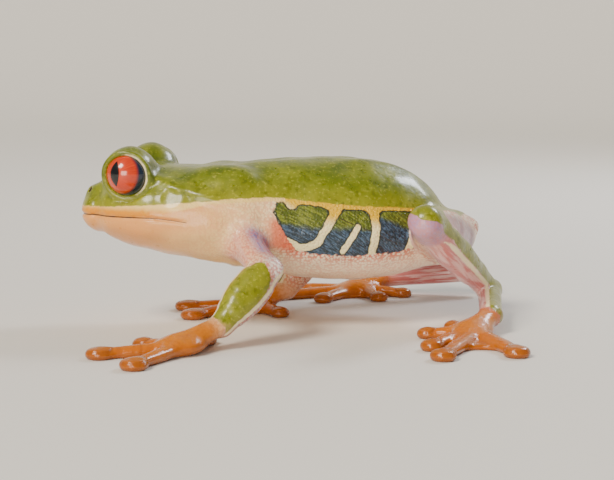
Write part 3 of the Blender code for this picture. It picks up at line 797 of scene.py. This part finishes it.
def nearest_of(points, centres):
    """Each vertex's distance from the nearest of a few places."""
    return np.min([np.linalg.norm(points - centre, axis=1) for centre in centres], axis=0)


def part_shares(x, y, z):
    """How much each part of the body owns a vertex: its distance to each part, turned into a share
    that falls off within a millimetre; and the distances themselves."""
    away = {}
    for part, low, high, shape, *_ in FLESH:
        near, form = near_form(low, high, shape, x, y, z)
        found = np.full(x.shape, FAR)
        found[near] = form
        away[part] = np.minimum(away.get(part, FAR), found)
    closest = np.min(list(away.values()), axis=0)
    shares = {part: np.exp(-(found - closest) / SHARE_WIDTH) for part, found in away.items()}
    total = sum(shares.values())
    return {part: share / total for part, share in shares.items()}, away


def limb_places(part, points):
    """A vertex's place on a limb: how far along it, and how much it faces the limb's upper side and
    its leading side, each worked out from the limb's axis."""
    best = np.full(len(points), 1e9)
    found = np.zeros((len(points), 3))
    outward_share, up_share, _ = DORSAL[part]
    for side in SIDES:
        root, end, _ = LIMB_AXES[part, side]
        length = np.linalg.norm(end - root)
        way = (end - root) / length
        outward = unit(np.array((-way[1], way[0], 0.0)))
        if outward[:2].dot((root + end)[:2] / 2 - TRUNK_MIDDLE) < 0:
            outward = -outward
        dorsal = outward * outward_share + np.array((0, 0, 1.0)) * up_share
        dorsal = unit(dorsal - way * dorsal.dot(way))
        leading = np.cross(way, dorsal) * SIDES[side]
        offset = points - root
        along = offset @ way
        radial = offset - along[:, None] * way
        size = np.linalg.norm(radial, axis=1) + 1e-6
        nearer = size + np.maximum(-along, 0) + np.maximum(along - length, 0) < best
        best = np.where(nearer, size, best)
        here = np.column_stack((along, radial @ dorsal / size, radial @ leading / size))
        found = np.where(nearer[:, None], here, found)
    return found


def digit_places(points):
    """A vertex's place on the nearest finger or toe, seen from above: millimetres along it from its
    root, millimetres to its left, and millimetres off it, from each straight piece of its path."""
    found = np.full((len(points), 3), 1e9)
    for path in DIGITS:
        walked = 0.0
        for start, end in zip(path[:, :2], path[1:, :2]):
            t, (off_x, off_y) = on_piece(start, end, *points[:, :2].T)
            length = np.linalg.norm(end - start)
            way = (end - start) / length
            here = (walked + t * length, way[0] * off_y - way[1] * off_x, np.hypot(off_x, off_y))
            found = np.where((here[2] < found[:, 2])[:, None], np.column_stack(here), found)
            walked += length
    return found.T


x, y, z = points.T
along, aside = spine_place(x, y)
share, away = part_shares(x, y, z)
lie = {part: limb_places(part, points) for part in DORSAL}
on_limb = np.zeros((len(points), 3))
limb_owner = np.max([share[part] for part in DORSAL], axis=0)
for part in DORSAL:
    mine = share[part] >= limb_owner - 1e-9
    on_limb[mine] = lie[part][mine]
on_trunk = share["trunk"] > 0.5
on_limb[on_trunk] = np.column_stack((along, z * SQUEEZE["trunk"], z - mouth_line(along)))[on_trunk]

# The green runs over the back and down the limbs' upper sides, and a cream line borders it on the limbs
edge = np.interp(along, *zip(*GREEN_EDGE))
green = share["trunk"] * (z - edge)
cream_line = np.full(len(points), -1.0)
from_knee = nearest_of(points, KNEE.values())
for part, (_, _, threshold) in DORSAL.items():
    if part in KNEE_GREEN:
        threshold = threshold + (KNEE_GREEN[part] - threshold) * ramp(from_knee, *KNEE_REACH)
    rise = (lie[part][:, 1] - threshold) * LIMB_AXES[part, "left"][2]
    green += share[part] * rise
    if part in ("forearm", "shank", "tarsus"):
        half_width = CREAM_WIDTH * ramp(from_knee, *CREAM_TAPER) - CREAM_SOFT
        cream_line = np.where(share[part] > 0.5, half_width - np.abs(rise + CREAM_BELOW), cream_line)
paws = np.minimum(away["hand"], away["foot"])
others = np.min([away[part] for part in away if part not in ("hand", "foot")], axis=0)
orange = (others - paws) * 0.5
tip_share = ramp(nearest_of(points, TIPS), *TIP_REACH)
green = np.where(orange > 0, -1.0, green) - TIP_CUT * tip_share

# The bars are drawn in the flank's own unit of depth, and are joined by fillets, as webs of paint are
foot_line = np.interp(along, *zip(*FLANK_FOOT))
depth = (edge - z) / (edge - foot_line)
down = depth * FLANK_DEPTH
front = np.interp(depth, *zip(*FLANK_START))
flank = np.minimum.reduce((edge - z + UNDER_GREEN, z - foot_line, along - front, FLANK_END - along))
flank = np.minimum(flank, (share["trunk"] - FLANK_SHARE) * FLANK_STEEPNESS)
place = along + np.where(aside > 0, RIGHT_SHIFT, 0.0)
off_bar = np.abs(down - TOP_LINE["down"]) - TOP_LINE["half_width"]
for line, half_width in BARS:
    drawn = [(u, v * FLANK_DEPTH) for u, v in line]
    off_bar = smooth_union(off_bar, line_distance(place, down, drawn) - half_width, BAR_FILLET)
bar = np.maximum(-off_bar, np.minimum(RIM_DARK, FRONT_RIM - (along - front)))

# Painted shade: a dark line in the mouth's slit goes on unseen to a fold that parts the panels' two colours
in_mouth = on_trunk & (along < MOUTH["corner"])
crease_at, crease_down = zip(*CREASE_LINE)
fold_height = edge - np.interp(place, crease_at, crease_down) * (edge - foot_line)
crease = z - mouth_line(along) - (fold_height - mouth_line(along)) * ramp(along, MOUTH["corner"], LIP_END)
thinness = np.interp(ramp(along, 9, MOUTH["corner"]), (0, 1), THINNESS["mouth"])
thinness = np.where(along < MOUTH["corner"], thinness, THINNESS["panels"])
in_panels = (place > crease_at[0]) & (place < crease_at[-1]) & (flank > 0) & (bar < OFF_BARS)
crease = np.where(in_panels | in_mouth, crease * thinness, np.copysign(UNSEEN, crease))
# Inside each nostril the same dark colour is painted shade in its pit
from_nostril = nearest_of(points, NOSTRILS)
crease = np.where(from_nostril < PIT_REACH, np.maximum(from_nostril - PIT_RADIUS, 0), crease)
panel = (np.interp(place, *zip(*PANEL_GREEN)) - depth) * FLANK_DEPTH

# The upper lip is a band between mouth and green that narrows to a pale line over the arm
lip_foot = mouth_line(along) - LIP["under_slit"]
lip_foot = lip_foot + ramp(along, *LIP["narrows"]) * (edge - LIP["width"] - lip_foot)
lip = np.where(on_trunk & (along < LIP_END), z - lip_foot, -1.0)
lid = np.full(len(points), -1.0)
for side in SIDES:
    axial, radial, _ = about_axis(EYE_CENTRE[side], LID_AXES[side], x, y, z)
    rearward = (points - EYE_CENTRE[side]) @ VENTWARD / LID["ring"]
    pale = np.interp(ramp(rearward, -0.2, 0.7), (0, 1), LID_EDGE["widths"])
    off_edge = np.hypot(radial - LID["ring"] + LID_EDGE["inset"], axial - LID["out"] - LID_EDGE["rise"])
    lid = np.maximum(lid, pale - off_edge)

digit_along, digit_across, off_digit = digit_places(points)
from_pad = np.min([np.hypot(x - pad[0], y - pad[1]) / radius for pad, radius in PADS], axis=0)
pad_rim = (from_pad - PAD_GROOVE) * PAD_SPAN
thigh_side = np.abs(lie["thigh"][:, 2])
KNEE_WASH = ("knee", 0.8, (from_knee, *KNEE_CAP))
PAW = (
    "orange",
    ("orange_deep", 0.55, (z, 1.5, 0.3)),
    ("orange_pale", 0.5, (z, 1.4, 2.4)),
    ("web", 0.5, (off_digit, 1.1, 2.0), (z, 2.0, 1.2)),
    ("pad", 0.45 * (z < 3), (pad_rim, 0.1, -0.5)),
)
# Each part's base colour, then each wash: its colour and strength, then each measure that it follows,
# with the values where the wash starts and where it is full
WASHES = {
    "trunk": (
        "belly",
        ("belly_low", 0.8, (z, 9.4, 7.0), (along, 26, 36)),
        ("chest", 1, (along, 32, 24)),
        ("throat", 1, (along, 27, 10)),
        ("jaw", 0.8, (z, 14.6, 16.8), (along, 26, 18)),
        ("arm", 0.3 * bell(along - 26.0, 2.6), (z, 12, 15)),
        ("axilla", 0.9, (along, 26.4, 28.4), (along, 33, 31), (depth, 0.35, 0.55), (depth, 1.15, 0.95)),
    ),
    "upper_arm": ("arm", ("arm_blue", 0.95, (lie["upper_arm"][:, 2], -0.25, 0.35))),
    "forearm": (
        "forearm",
        ("cream", 0.6, (lie["forearm"][:, 1], -0.3, 0.3)),
        ("arm_blue", 0.45, (lie["forearm"][:, 2], 0.4, 0.9)),
    ),
    "thigh": ("thigh", ("thigh_side", 0.85, (thigh_side, 0.55, 0.95)), KNEE_WASH),
    "shank": ("shank", ("heel", 1, (lie["shank"][:, 0], 21, 26)), KNEE_WASH),
    "tarsus": ("tarsus", ("heel", 1, (lie["tarsus"][:, 0], 2.5, -0.5))),
    "hand": PAW,
    "foot": PAW,
}
GAP_COLOURS = {"upper_arm": "arm_gap", "forearm": "arm_gap", "thigh": "thigh_gap"}


def washed(base, *washes):
    """A base colour drawn towards others in turn: the amount of each is its strength times the smooth
    steps of its measures."""
    for colour, amount, *measures in washes:
        for measure, start, full in measures:
            amount = amount * ramp(measure, start, full)
        base = base + (linear(COLOURS[colour]) - base) * np.clip(amount, 0, 1)[:, None]
    return base


ground = np.zeros((len(points), 3))
gap = np.zeros((len(points), 3))
for part, (base, *washes) in WASHES.items():
    ground += share[part][:, None] * washed(linear(COLOURS[base]), *washes)
    gap += share[part][:, None] * linear(COLOURS[GAP_COLOURS.get(part, "belly_gap")])
ground = washed(ground, ("tip", 0.85 * tip_share * (orange < 0)))
under_flank = share["trunk"] * bell(np.minimum(z - foot_line, 0), UNDER_FLANK["width"])
under_flank = under_flank * ramp(along, *UNDER_FLANK["start"])
gap = washed(gap, ("flank_gap", under_flank))

# How strongly granules and streaks show
knee_cap = ramp(from_knee, *KNEE_CAP)
fine_grain = share["trunk"] * (0.12 + 0.38 * ramp(along, 14, 26)) + 0.5 * under_flank
fine_grain += 0.9 * share["forearm"] + 0.6 * share["upper_arm"] + 0.4 * knee_cap
coarse_grain = share["thigh"] * (1 - 0.75 * ramp(thigh_side, 0.6, 1.0)) * (1 - 0.8 * knee_cap)
streaks = (share["shank"] + share["tarsus"]) * (1 - knee_cap) + 0.4 * share["upper_arm"]
streaks = np.where(orange > 0, ramp(orange, 0, 0.4) * ramp(off_digit, 1.9, 1.1), streaks)

# On hands and feet the streaks follow the digits, and the discs have a groove inside their rims
on_digit = np.column_stack((digit_along, digit_across * SQUEEZE["digit"], 0 * along))
on_limb = np.where(orange[:, None] > 0, on_digit, on_limb)
down = np.where(orange > 0, pad_rim, down + PALE_FRONT * ramp(along, *PALE_REACH))


def keep(data, name, *columns):
    """Stores three values, or a colour's four, for each vertex under a name that a material reads."""
    kind, field = ("FLOAT_COLOR", "color") if len(columns) == 4 else ("FLOAT_VECTOR", "vector")
    attribute = data.attributes.new(name, kind, "POINT")
    attribute.data.foreach_set(field, np.column_stack(columns).astype(np.float32).ravel())


opaque = np.ones(len(points))
keep(data, "ground", *np.clip(ground, 0, 1).T, opaque)
keep(data, "gap", *np.clip(gap, 0, 1).T, opaque)
keep(data, "edges", green, flank, bar)
keep(data, "rims", orange, np.maximum(lip, -1), np.maximum(cream_line, lid))
keep(data, "grain", fine_grain, coarse_grain, streaks)
keep(data, "lie", *on_limb.T)
keep(data, "panels", panel, crease, down)

# Stuff of the skin
# Frog skin is a thin moist film over pigment: clear, softly shining, with low granules of half a
# millimetre on the belly and bigger ones on the thighs, and smooth on the back, hands and feet.
FINE_GRANULE = 0.44 * MM
COARSE_GRANULE = 0.72 * MM
GRANULE_SPREAD = 0.8
# Each noise: its size and how many finer ones it holds
NOISES = {
    "wobble": (0.9 * MM, 2.0), "mottle": (2.6 * MM, 3.0),
    "crease": (1.3 * MM, 4.0), "speck": (0.45 * MM, 2.0),
}
# Streaks run along shanks and toes, and folds across toes, so their noises are stretched that way
STRETCHED = {"streak": ((0.12, 2.2, 2.2), 1.6, 4.0), "fold": ((1.3, 0.5, 0.0), 1.0, 3.0)}


def fill(node, inputs):
    """Gives sockets their values: a number, a colour's six hex digits, or the node or socket that
    feeds it. Each is found by its name or its place."""
    for key, value in inputs.items():
        if isinstance(value, bpy.types.Node):
            value = next(output for output in value.outputs if output.enabled)
        if isinstance(value, bpy.types.NodeSocket):
            node.id_data.links.new(value, node.inputs[key])
        else:
            node.inputs[key].default_value = (*linear(value), 1.0) if isinstance(value, str) else value


def add(tree, kind, *inputs, **settings):
    """Adds a node with its settings and links. Inputs go to its open sockets in order, and a setting
    that has a socket's name goes there."""
    made = tree.nodes.new("ShaderNode" + kind)
    named = {name: settings.pop(name) for name in list(settings) if name in made.inputs}
    for name, value in settings.items():
        setattr(made, name, value)
    places = [place for place, socket in enumerate(made.inputs) if socket.enabled]
    fill(made, {**dict(zip(places, inputs)), **named})
    return made


def new_stuff(name):
    """A new material, its node tree and its shader."""
    stuff = bpy.data.materials.new(name)
    stuff.use_nodes = True
    return stuff, stuff.node_tree, stuff.node_tree.nodes["Principled BSDF"]


moist_skin, tree, shader = new_stuff("moist_frog_skin")
data.materials.append(moist_skin)

# What the material knows at each spot, by name
known = {name: add(tree, "Attribute", attribute_name=name) for name in ("ground", "gap")}
for name, parts in {
    "edges": ("green_side", "flank_side", "bar_side"),
    "rims": ("orange_side", "lip_side", "line_side"),
    "grain": ("fine_grain", "coarse_grain", "streaked"),
    "lie": ("limb_along", "limb_up", "over_mouth"),
    "panels": ("olive_side", "crease_side", "down"),
}.items():
    known[name] = add(tree, "Attribute", attribute_name=name).outputs["Vector"]
    known.update(zip(parts, add(tree, "SeparateXYZ", known[name]).outputs))
object_place = add(tree, "TexCoord").outputs["Object"]
for name, (size, detail) in NOISES.items():
    known[name] = add(tree, "TexNoise", Vector=object_place, Scale=1 / size, Detail=detail)
for name, size in (("fine", FINE_GRANULE), ("coarse", COARSE_GRANULE)):
    known[name] = add(tree, "TexVoronoi", Vector=object_place, Scale=1 / size, Randomness=GRANULE_SPREAD)
for name, (stretch, scale, detail) in STRETCHED.items():
    stretched = add(tree, "VectorMath", known["lie"], stretch, operation="MULTIPLY")
    known[name] = add(tree, "TexNoise", Vector=stretched, Scale=scale, Detail=detail)
shaking = add(tree, "Math", known["wobble"], 0.5, operation="SUBTRACT")
for name in ("crease_side", "down"):
    known["off_" + name] = add(tree, "Math", known[name], operation="ABSOLUTE")

# Masks with soft edges: each is one where its distance, shaken by the wobble, passes its edge
for name, source, shake, low, high in (
    ("green", "green_side", 0.5, -0.12, 0.12),
    ("flank", "flank_side", 1.3, -0.12, 0.12),
    ("bar", "bar_side", 0.55, -0.06, 0.10),
    ("outline", "bar_side", 0.55, -0.32, -0.05),
    ("orange", "orange_side", 0.3, -0.15, 0.15),
    ("lip", "lip_side", 0.5, -0.05, 0.45),
    ("line", "line_side", 0.2, -0.08, 0.12),
    ("olive", "olive_side", 1.0, -0.5, 0.5),
    # The next mask is the dark line of painted shade in the mouth's slit, the nostrils and the flank's fold
    ("slit", "off_crease_side", 0.1, 0.22, 0.06),
    ("bar_pale", "down", 0.6, 1.6, 3.6),
    ("lip_pale", "over_mouth", 0.5, 0.6, 1.9),
    ("groove", "off_down", 0.1, 0.26, 0.04),
    ("between_fine", "fine", 0.15, 0.34, 0.64),
    ("between_coarse", "coarse", 0.15, 0.36, 0.62),
):
    shaken = add(tree, "Math", shaking, shake, known[source], operation="MULTIPLY_ADD")
    known[name] = add(tree, "MapRange", shaken, low, high, interpolation_type="SMOOTHSTEP")
known["in_streak"] = add(tree, "MapRange", known["streak"], 0.44, 0.62, interpolation_type="SMOOTHSTEP")

# Straight ranges: from where to where a noise or distance is read, and what that turns into
for name, source, *reach in (
    ("mottled", "mottle", 0.3, 0.7),
    ("young", "green_side", 3.2, 0.2, 0.0, 0.45),
    ("dark_patches", "wobble", 0.46, 0.30, 0.0, 0.5),
    ("flecks", "speck", 0.58, 0.70, 0.0, 0.42),
    ("speckles", "speck", 0.42, 0.62, 0.0, 0.35),
    # The folds' creases across the toes get painted shade: the next range says how much, where the fold
    # noise is low
    ("folded", "fold", 0.48, 0.34, 0.0, 0.4),
    ("rough", "crease", 0.3, 0.7, 0.26, 0.42),
):
    known[name] = add(tree, "MapRange", known[source], *reach)

# Amounts of colour, then the height of granules, folds, grooves and dimples for the bump
for name, operation, *terms in (
    ("fine_gaps", "MULTIPLY", "between_fine", "fine_grain"),
    ("coarse_gaps", "MULTIPLY", "between_coarse", "coarse_grain"),
    ("gaps", "MAXIMUM", "fine_gaps", "coarse_gaps"),
    ("gaps", "MULTIPLY", "gaps", 0.8),
    ("streaks", "MULTIPLY", "in_streak", "streaked"),
    ("streaks", "MULTIPLY", "streaks", 0.75),
    ("folded", "MULTIPLY", "folded", "streaked"),
    # The groove inside each disc's rim gets painted shade as well as a dip in the bump
    ("grooved", "MULTIPLY", "groove", 0.4),
    ("smooth", "MAXIMUM", "green", "orange"),
    ("sunk", "MULTIPLY", "gaps", "smooth"),
    ("sunk", "SUBTRACT", "gaps", "sunk"),
    ("ridges", "ADD", "fold", "streak"),
    ("ridges", "MULTIPLY", "ridges", "streaked"),
    ("ridges", "SUBTRACT", "ridges", "groove"),
    ("dimples", "MULTIPLY_ADD", "wobble", 1.4, "ridges"),
    ("dimples", "MULTIPLY", "dimples", "orange"),
    ("height", "SUBTRACT", "crease", "sunk"),
    ("height", "ADD", "height", "dimples"),
):
    known[name] = add(tree, "Math", *(known.get(term, term) for term in terms), operation=operation)

# Coats of colour, from the bottom up: a base, then each colour where its mask or amount lets it show
for name, coat, *layers in (
    (
        "greens", "506008",
        ("mottled", "7C8414"), ("young", "9E9A1C"), ("dark_patches", "444E0A"), ("flecks", "B2B044"),
    ),
    ("blues", "26343F", ("in_streak", "47607A")),
    ("olives", "4E5A14", ("in_streak", "788228")),
    ("lips", "D88C10", ("lip_pale", "F0CE7C")),
    ("bars", "DEB216", ("bar_pale", "F6E8B0")),
    ("flanks", "blues", ("olive", "olives"), ("outline", "222A26"), ("bar", "bars")),
    # On hands and feet: darker orange speckles, then painted shade in the toes' creases and the discs'
    # grooves
    ("oranges", "ground", ("speckles", "B05E04"), ("folded", "9A4A0C"), ("grooved", "6E3A12")),
    (
        "colour", "ground",
        ("gaps", "gap"), ("streaks", "F0CFCB"), ("flank", "flanks"), ("lip", "lips"),
        # 3A2A20 is painted shade: in the mouth's slit, the nostrils' pits and one fold across each flank
        ("green", "greens"), ("line", "F2E3B8"), ("orange", "oranges"), ("slit", "3A2A20"),
    ),
):
    coat = known.get(coat, coat)
    for mask, colour in layers:
        coat = add(tree, "Mix", known[mask], coat, known.get(colour, colour), data_type="RGBA")
    known[name] = coat

# The coat is the film of moisture, and a little light goes under the skin and comes back redder
fill(shader, {
    "Base Color": known["colour"],
    "Roughness": add(tree, "Mix", known["orange"], known["rough"], 0.22, data_type="FLOAT"),
    "Normal": add(tree, "Bump", Height=known["height"], Strength=0.7, Distance=0.14 * MM),
    "IOR": 1.4,
    "Coat Weight": 0.35,
    "Coat Roughness": 0.12,
    "Subsurface Weight": 0.12,
    "Subsurface Radius": (1.0, 0.4, 0.25),
    "Subsurface Scale": 0.7 * MM,
})

# Eyes
# In life each eye is a ball in its socket: a clear wet cornea over a red iris whose pupil closes to
# an upright slit, rimmed with dark blue. Each is one turned ball, facing out and a little forward.
EYE_FORWARD = 0.40
EYE_UP = 0.06
PUPIL_HALF_WIDTH = 0.80
PUPIL_HALF_HEIGHT = 1.95
PUPIL_BLUR = 0.05
IRIS_EDGE = 3.15
RIM_WIDTH = 0.35
CORNEA_RISE = 0.16
CORNEA_SPREAD = 0.75
EYE_ROWS = 47
EYE_COLUMNS = 96
RAYS = 9.0


def eyeball(side):
    """A ball turned about its line of sight, whose front swells by a bell into the cornea: one pole,
    the rows between, the other pole. Each vertex also keeps its place across and up the iris in
    millimetres, and how far it lies ahead."""
    ahead = np.array((-math.cos(HEAD_YAW), -math.sin(HEAD_YAW), 0.0))
    out = np.array((-ahead[1], ahead[0], 0.0)) * -SIDES[side]
    sight = unit(out + ahead * EYE_FORWARD + np.array((0, 0, EYE_UP)))
    across = unit(np.cross((0, 0, 1.0), sight))
    up = np.cross(sight, across)
    tilt = np.linspace(0, math.pi, EYE_ROWS + 2)[1:-1]
    turn = np.linspace(0, 2 * math.pi, EYE_COLUMNS, endpoint=False)
    tilt = np.concatenate(([0], np.repeat(tilt, EYE_COLUMNS), [math.pi]))
    turn = np.concatenate(([0], np.tile(turn, EYE_ROWS), [0]))
    reach = EYE_RADIUS - CORNEA_RISE + CORNEA_RISE * bell(tilt, CORNEA_SPREAD)
    u = reach * np.sin(tilt) * np.cos(turn)
    v = reach * np.sin(tilt) * np.sin(turn)
    w = reach * np.cos(tilt)
    spots = EYE_CENTRE[side] + u[:, None] * across + v[:, None] * up + w[:, None] * sight
    index = np.arange(1, len(tilt) - 1).reshape(EYE_ROWS, EYE_COLUMNS)
    right = np.roll(index, -1, axis=1)
    sides = np.stack((index[1:], right[1:], right[:-1], index[:-1]), axis=-1).reshape(-1, 4)
    front = np.column_stack((0 * index[0], index[0], right[0]))
    back = np.column_stack((0 * index[0] + len(tilt) - 1, right[-1], index[-1]))
    data = bpy.data.meshes.new("eyeball_" + side)
    data.from_pydata((spots * MM).tolist(), [], sides.tolist() + front.tolist() + back.tolist())
    keep(data, "iris_place", u, v, w)
    data.shade_smooth()
    return data


# The coat is the cornea's film of tears: a mirror-smooth layer over the iris, which shines less
wet_eye, tree, shader = new_stuff("wet_red_eye")
place = add(tree, "Attribute", attribute_name="iris_place").outputs["Vector"]
across, up, ahead = add(tree, "SeparateXYZ", place).outputs
flat_place = add(tree, "CombineXYZ", across, up)
from_middle = add(tree, "VectorMath", flat_place, operation="LENGTH")
ray_place = add(tree, "VectorMath", flat_place, operation="NORMALIZE")
ray_place = add(tree, "VectorMath", ray_place, (RAYS, RAYS, RAYS), operation="MULTIPLY")
rays = add(tree, "TexNoise", Vector=ray_place, Scale=1.5, Detail=5.0)
rim = add(
    tree, "MapRange", from_middle, IRIS_EDGE - RIM_WIDTH, IRIS_EDGE, interpolation_type="SMOOTHSTEP"
)

# The pupil is as wide as a parabola of the height up the iris, and lies only in the ball's front half
share = add(tree, "Math", up, PUPIL_HALF_HEIGHT, operation="DIVIDE")
squared = add(tree, "Math", share, share, operation="MULTIPLY")
room = add(tree, "Math", 1.0, squared, operation="SUBTRACT")
half_width = add(tree, "Math", room, PUPIL_HALF_WIDTH, operation="MULTIPLY")
sideways = add(tree, "Math", across, operation="ABSOLUTE")
inside = add(tree, "Math", half_width, sideways, operation="SUBTRACT")
pupil = add(tree, "MapRange", inside, -PUPIL_BLUR, PUPIL_BLUR, interpolation_type="SMOOTHSTEP")
facing = add(tree, "Math", ahead, 0.0, operation="GREATER_THAN")
pupil = add(tree, "Math", pupil, facing, operation="MULTIPLY")
colour = "941604"
for mask, painted in ((rays, "E8480C"), (rim, "12233B"), (pupil, "050505")):
    colour = add(tree, "Mix", mask, colour, painted, data_type="RGBA")
fill(shader, {
    "Base Color": colour, "Roughness": 0.25, "IOR": 1.376, "Coat Weight": 1.0, "Coat Roughness": 0.02,
})

for side in SIDES:
    ball = put_in("eyeball_" + side, eyeball(side))
    ball.data.materials.append(wet_eye)
    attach(ball, "root")
    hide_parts("eye_" + side)

# Floor, light and camera
# The floor is a pale paper sheet that sweeps up far behind, under soft studio lights. The camera
# stands low at the frog's left side, so that the head is at the left of the picture.
SWEEP_WIDTH = 3.0
SWEEP_FRONT = -3.0
SWEEP_START = 1.0
SWEEP_RADIUS = 0.8
SWEEP_TOP = 3.0
UNDER_SOLES = 0.00005
turn = np.linspace(0, math.pi / 2, 25)
curve = np.column_stack((SWEEP_START + SWEEP_RADIUS * np.sin(turn), SWEEP_RADIUS * (1 - np.cos(turn))))
profile = np.vstack(((SWEEP_FRONT, 0), curve, (SWEEP_START + SWEEP_RADIUS, SWEEP_TOP)))
edges_x = np.tile((-SWEEP_WIDTH, SWEEP_WIDTH), len(profile))
floor_points = np.column_stack((edges_x, profile.repeat(2, axis=0))) - (0, 0, UNDER_SOLES)
strips = 2 * np.arange(len(profile) - 1)[:, None] + (0, 1, 3, 2)
floor_mesh = bpy.data.meshes.new("floor")
floor_mesh.from_pydata(floor_points.tolist(), [], strips.tolist())
floor_mesh.shade_smooth()
# Matt paper keeps soft shadows, and throws a little light back up under the frog
paper, _, shader = new_stuff("pale_paper")
fill(shader, {"Base Color": "E4E2DC", "Roughness": 0.7})
floor_mesh.materials.append(paper)
floor = put_in("floor", floor_mesh)
floor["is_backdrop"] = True

world = bpy.data.worlds.new("studio")
bpy.context.scene.world = world
world.use_nodes = True
fill(world.node_tree.nodes["Background"], {"Color": "E9EAEC", "Strength": 0.30})
AIM = Vector((0.0, 0.0, 0.012))
# Each light: its kind, place, size (an angle for a sun), strength and tint
for name, kind, place, size, energy, tint in (
    ("key", "SUN", (-0.20, -0.34, 0.40), 0.35, 3.1, "FFF4E4"),
    ("low_fill", "AREA", (-0.04, -0.40, 0.05), 0.20, 1.4, "FFF0DE"),
    ("rim", "AREA", (0.22, 0.30, 0.30), 0.12, 1.1, "F0F4FF"),
):
    light = bpy.data.lights.new(name, kind)
    light.energy = energy
    light.color = linear(tint)
    setattr(light, "angle" if kind == "SUN" else "size", size)
    lamp = put_in(name, light)
    lamp.location = place
    lamp.rotation_euler = (AIM - Vector(place)).to_track_quat("-Z", "Y").to_euler()

ELEVATION = math.radians(6.5)
AZIMUTH = math.radians(11)
DISTANCE = 0.225
TARGET = Vector((0.0, 0.0, 0.0135))
camera_data = bpy.data.cameras.new("camera")
camera_data.lens = 85
camera_data.clip_start = 0.01
camera = put_in("camera", camera_data)
level = math.cos(ELEVATION)
way = Vector((math.sin(AZIMUTH) * level, -math.cos(AZIMUTH) * level, math.sin(ELEVATION)))
camera.location = TARGET + way * DISTANCE
camera.rotation_euler = (-way).to_track_quat("-Z", "Y").to_euler()
bpy.context.scene.camera = camera

# The two boxes side by side: the finished model's and its solids'
boxes = {"cad": cad_box, "visual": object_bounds()}
boxes = {name: [[float(v) for v in corner] for corner in box] for name, box in boxes.items()}
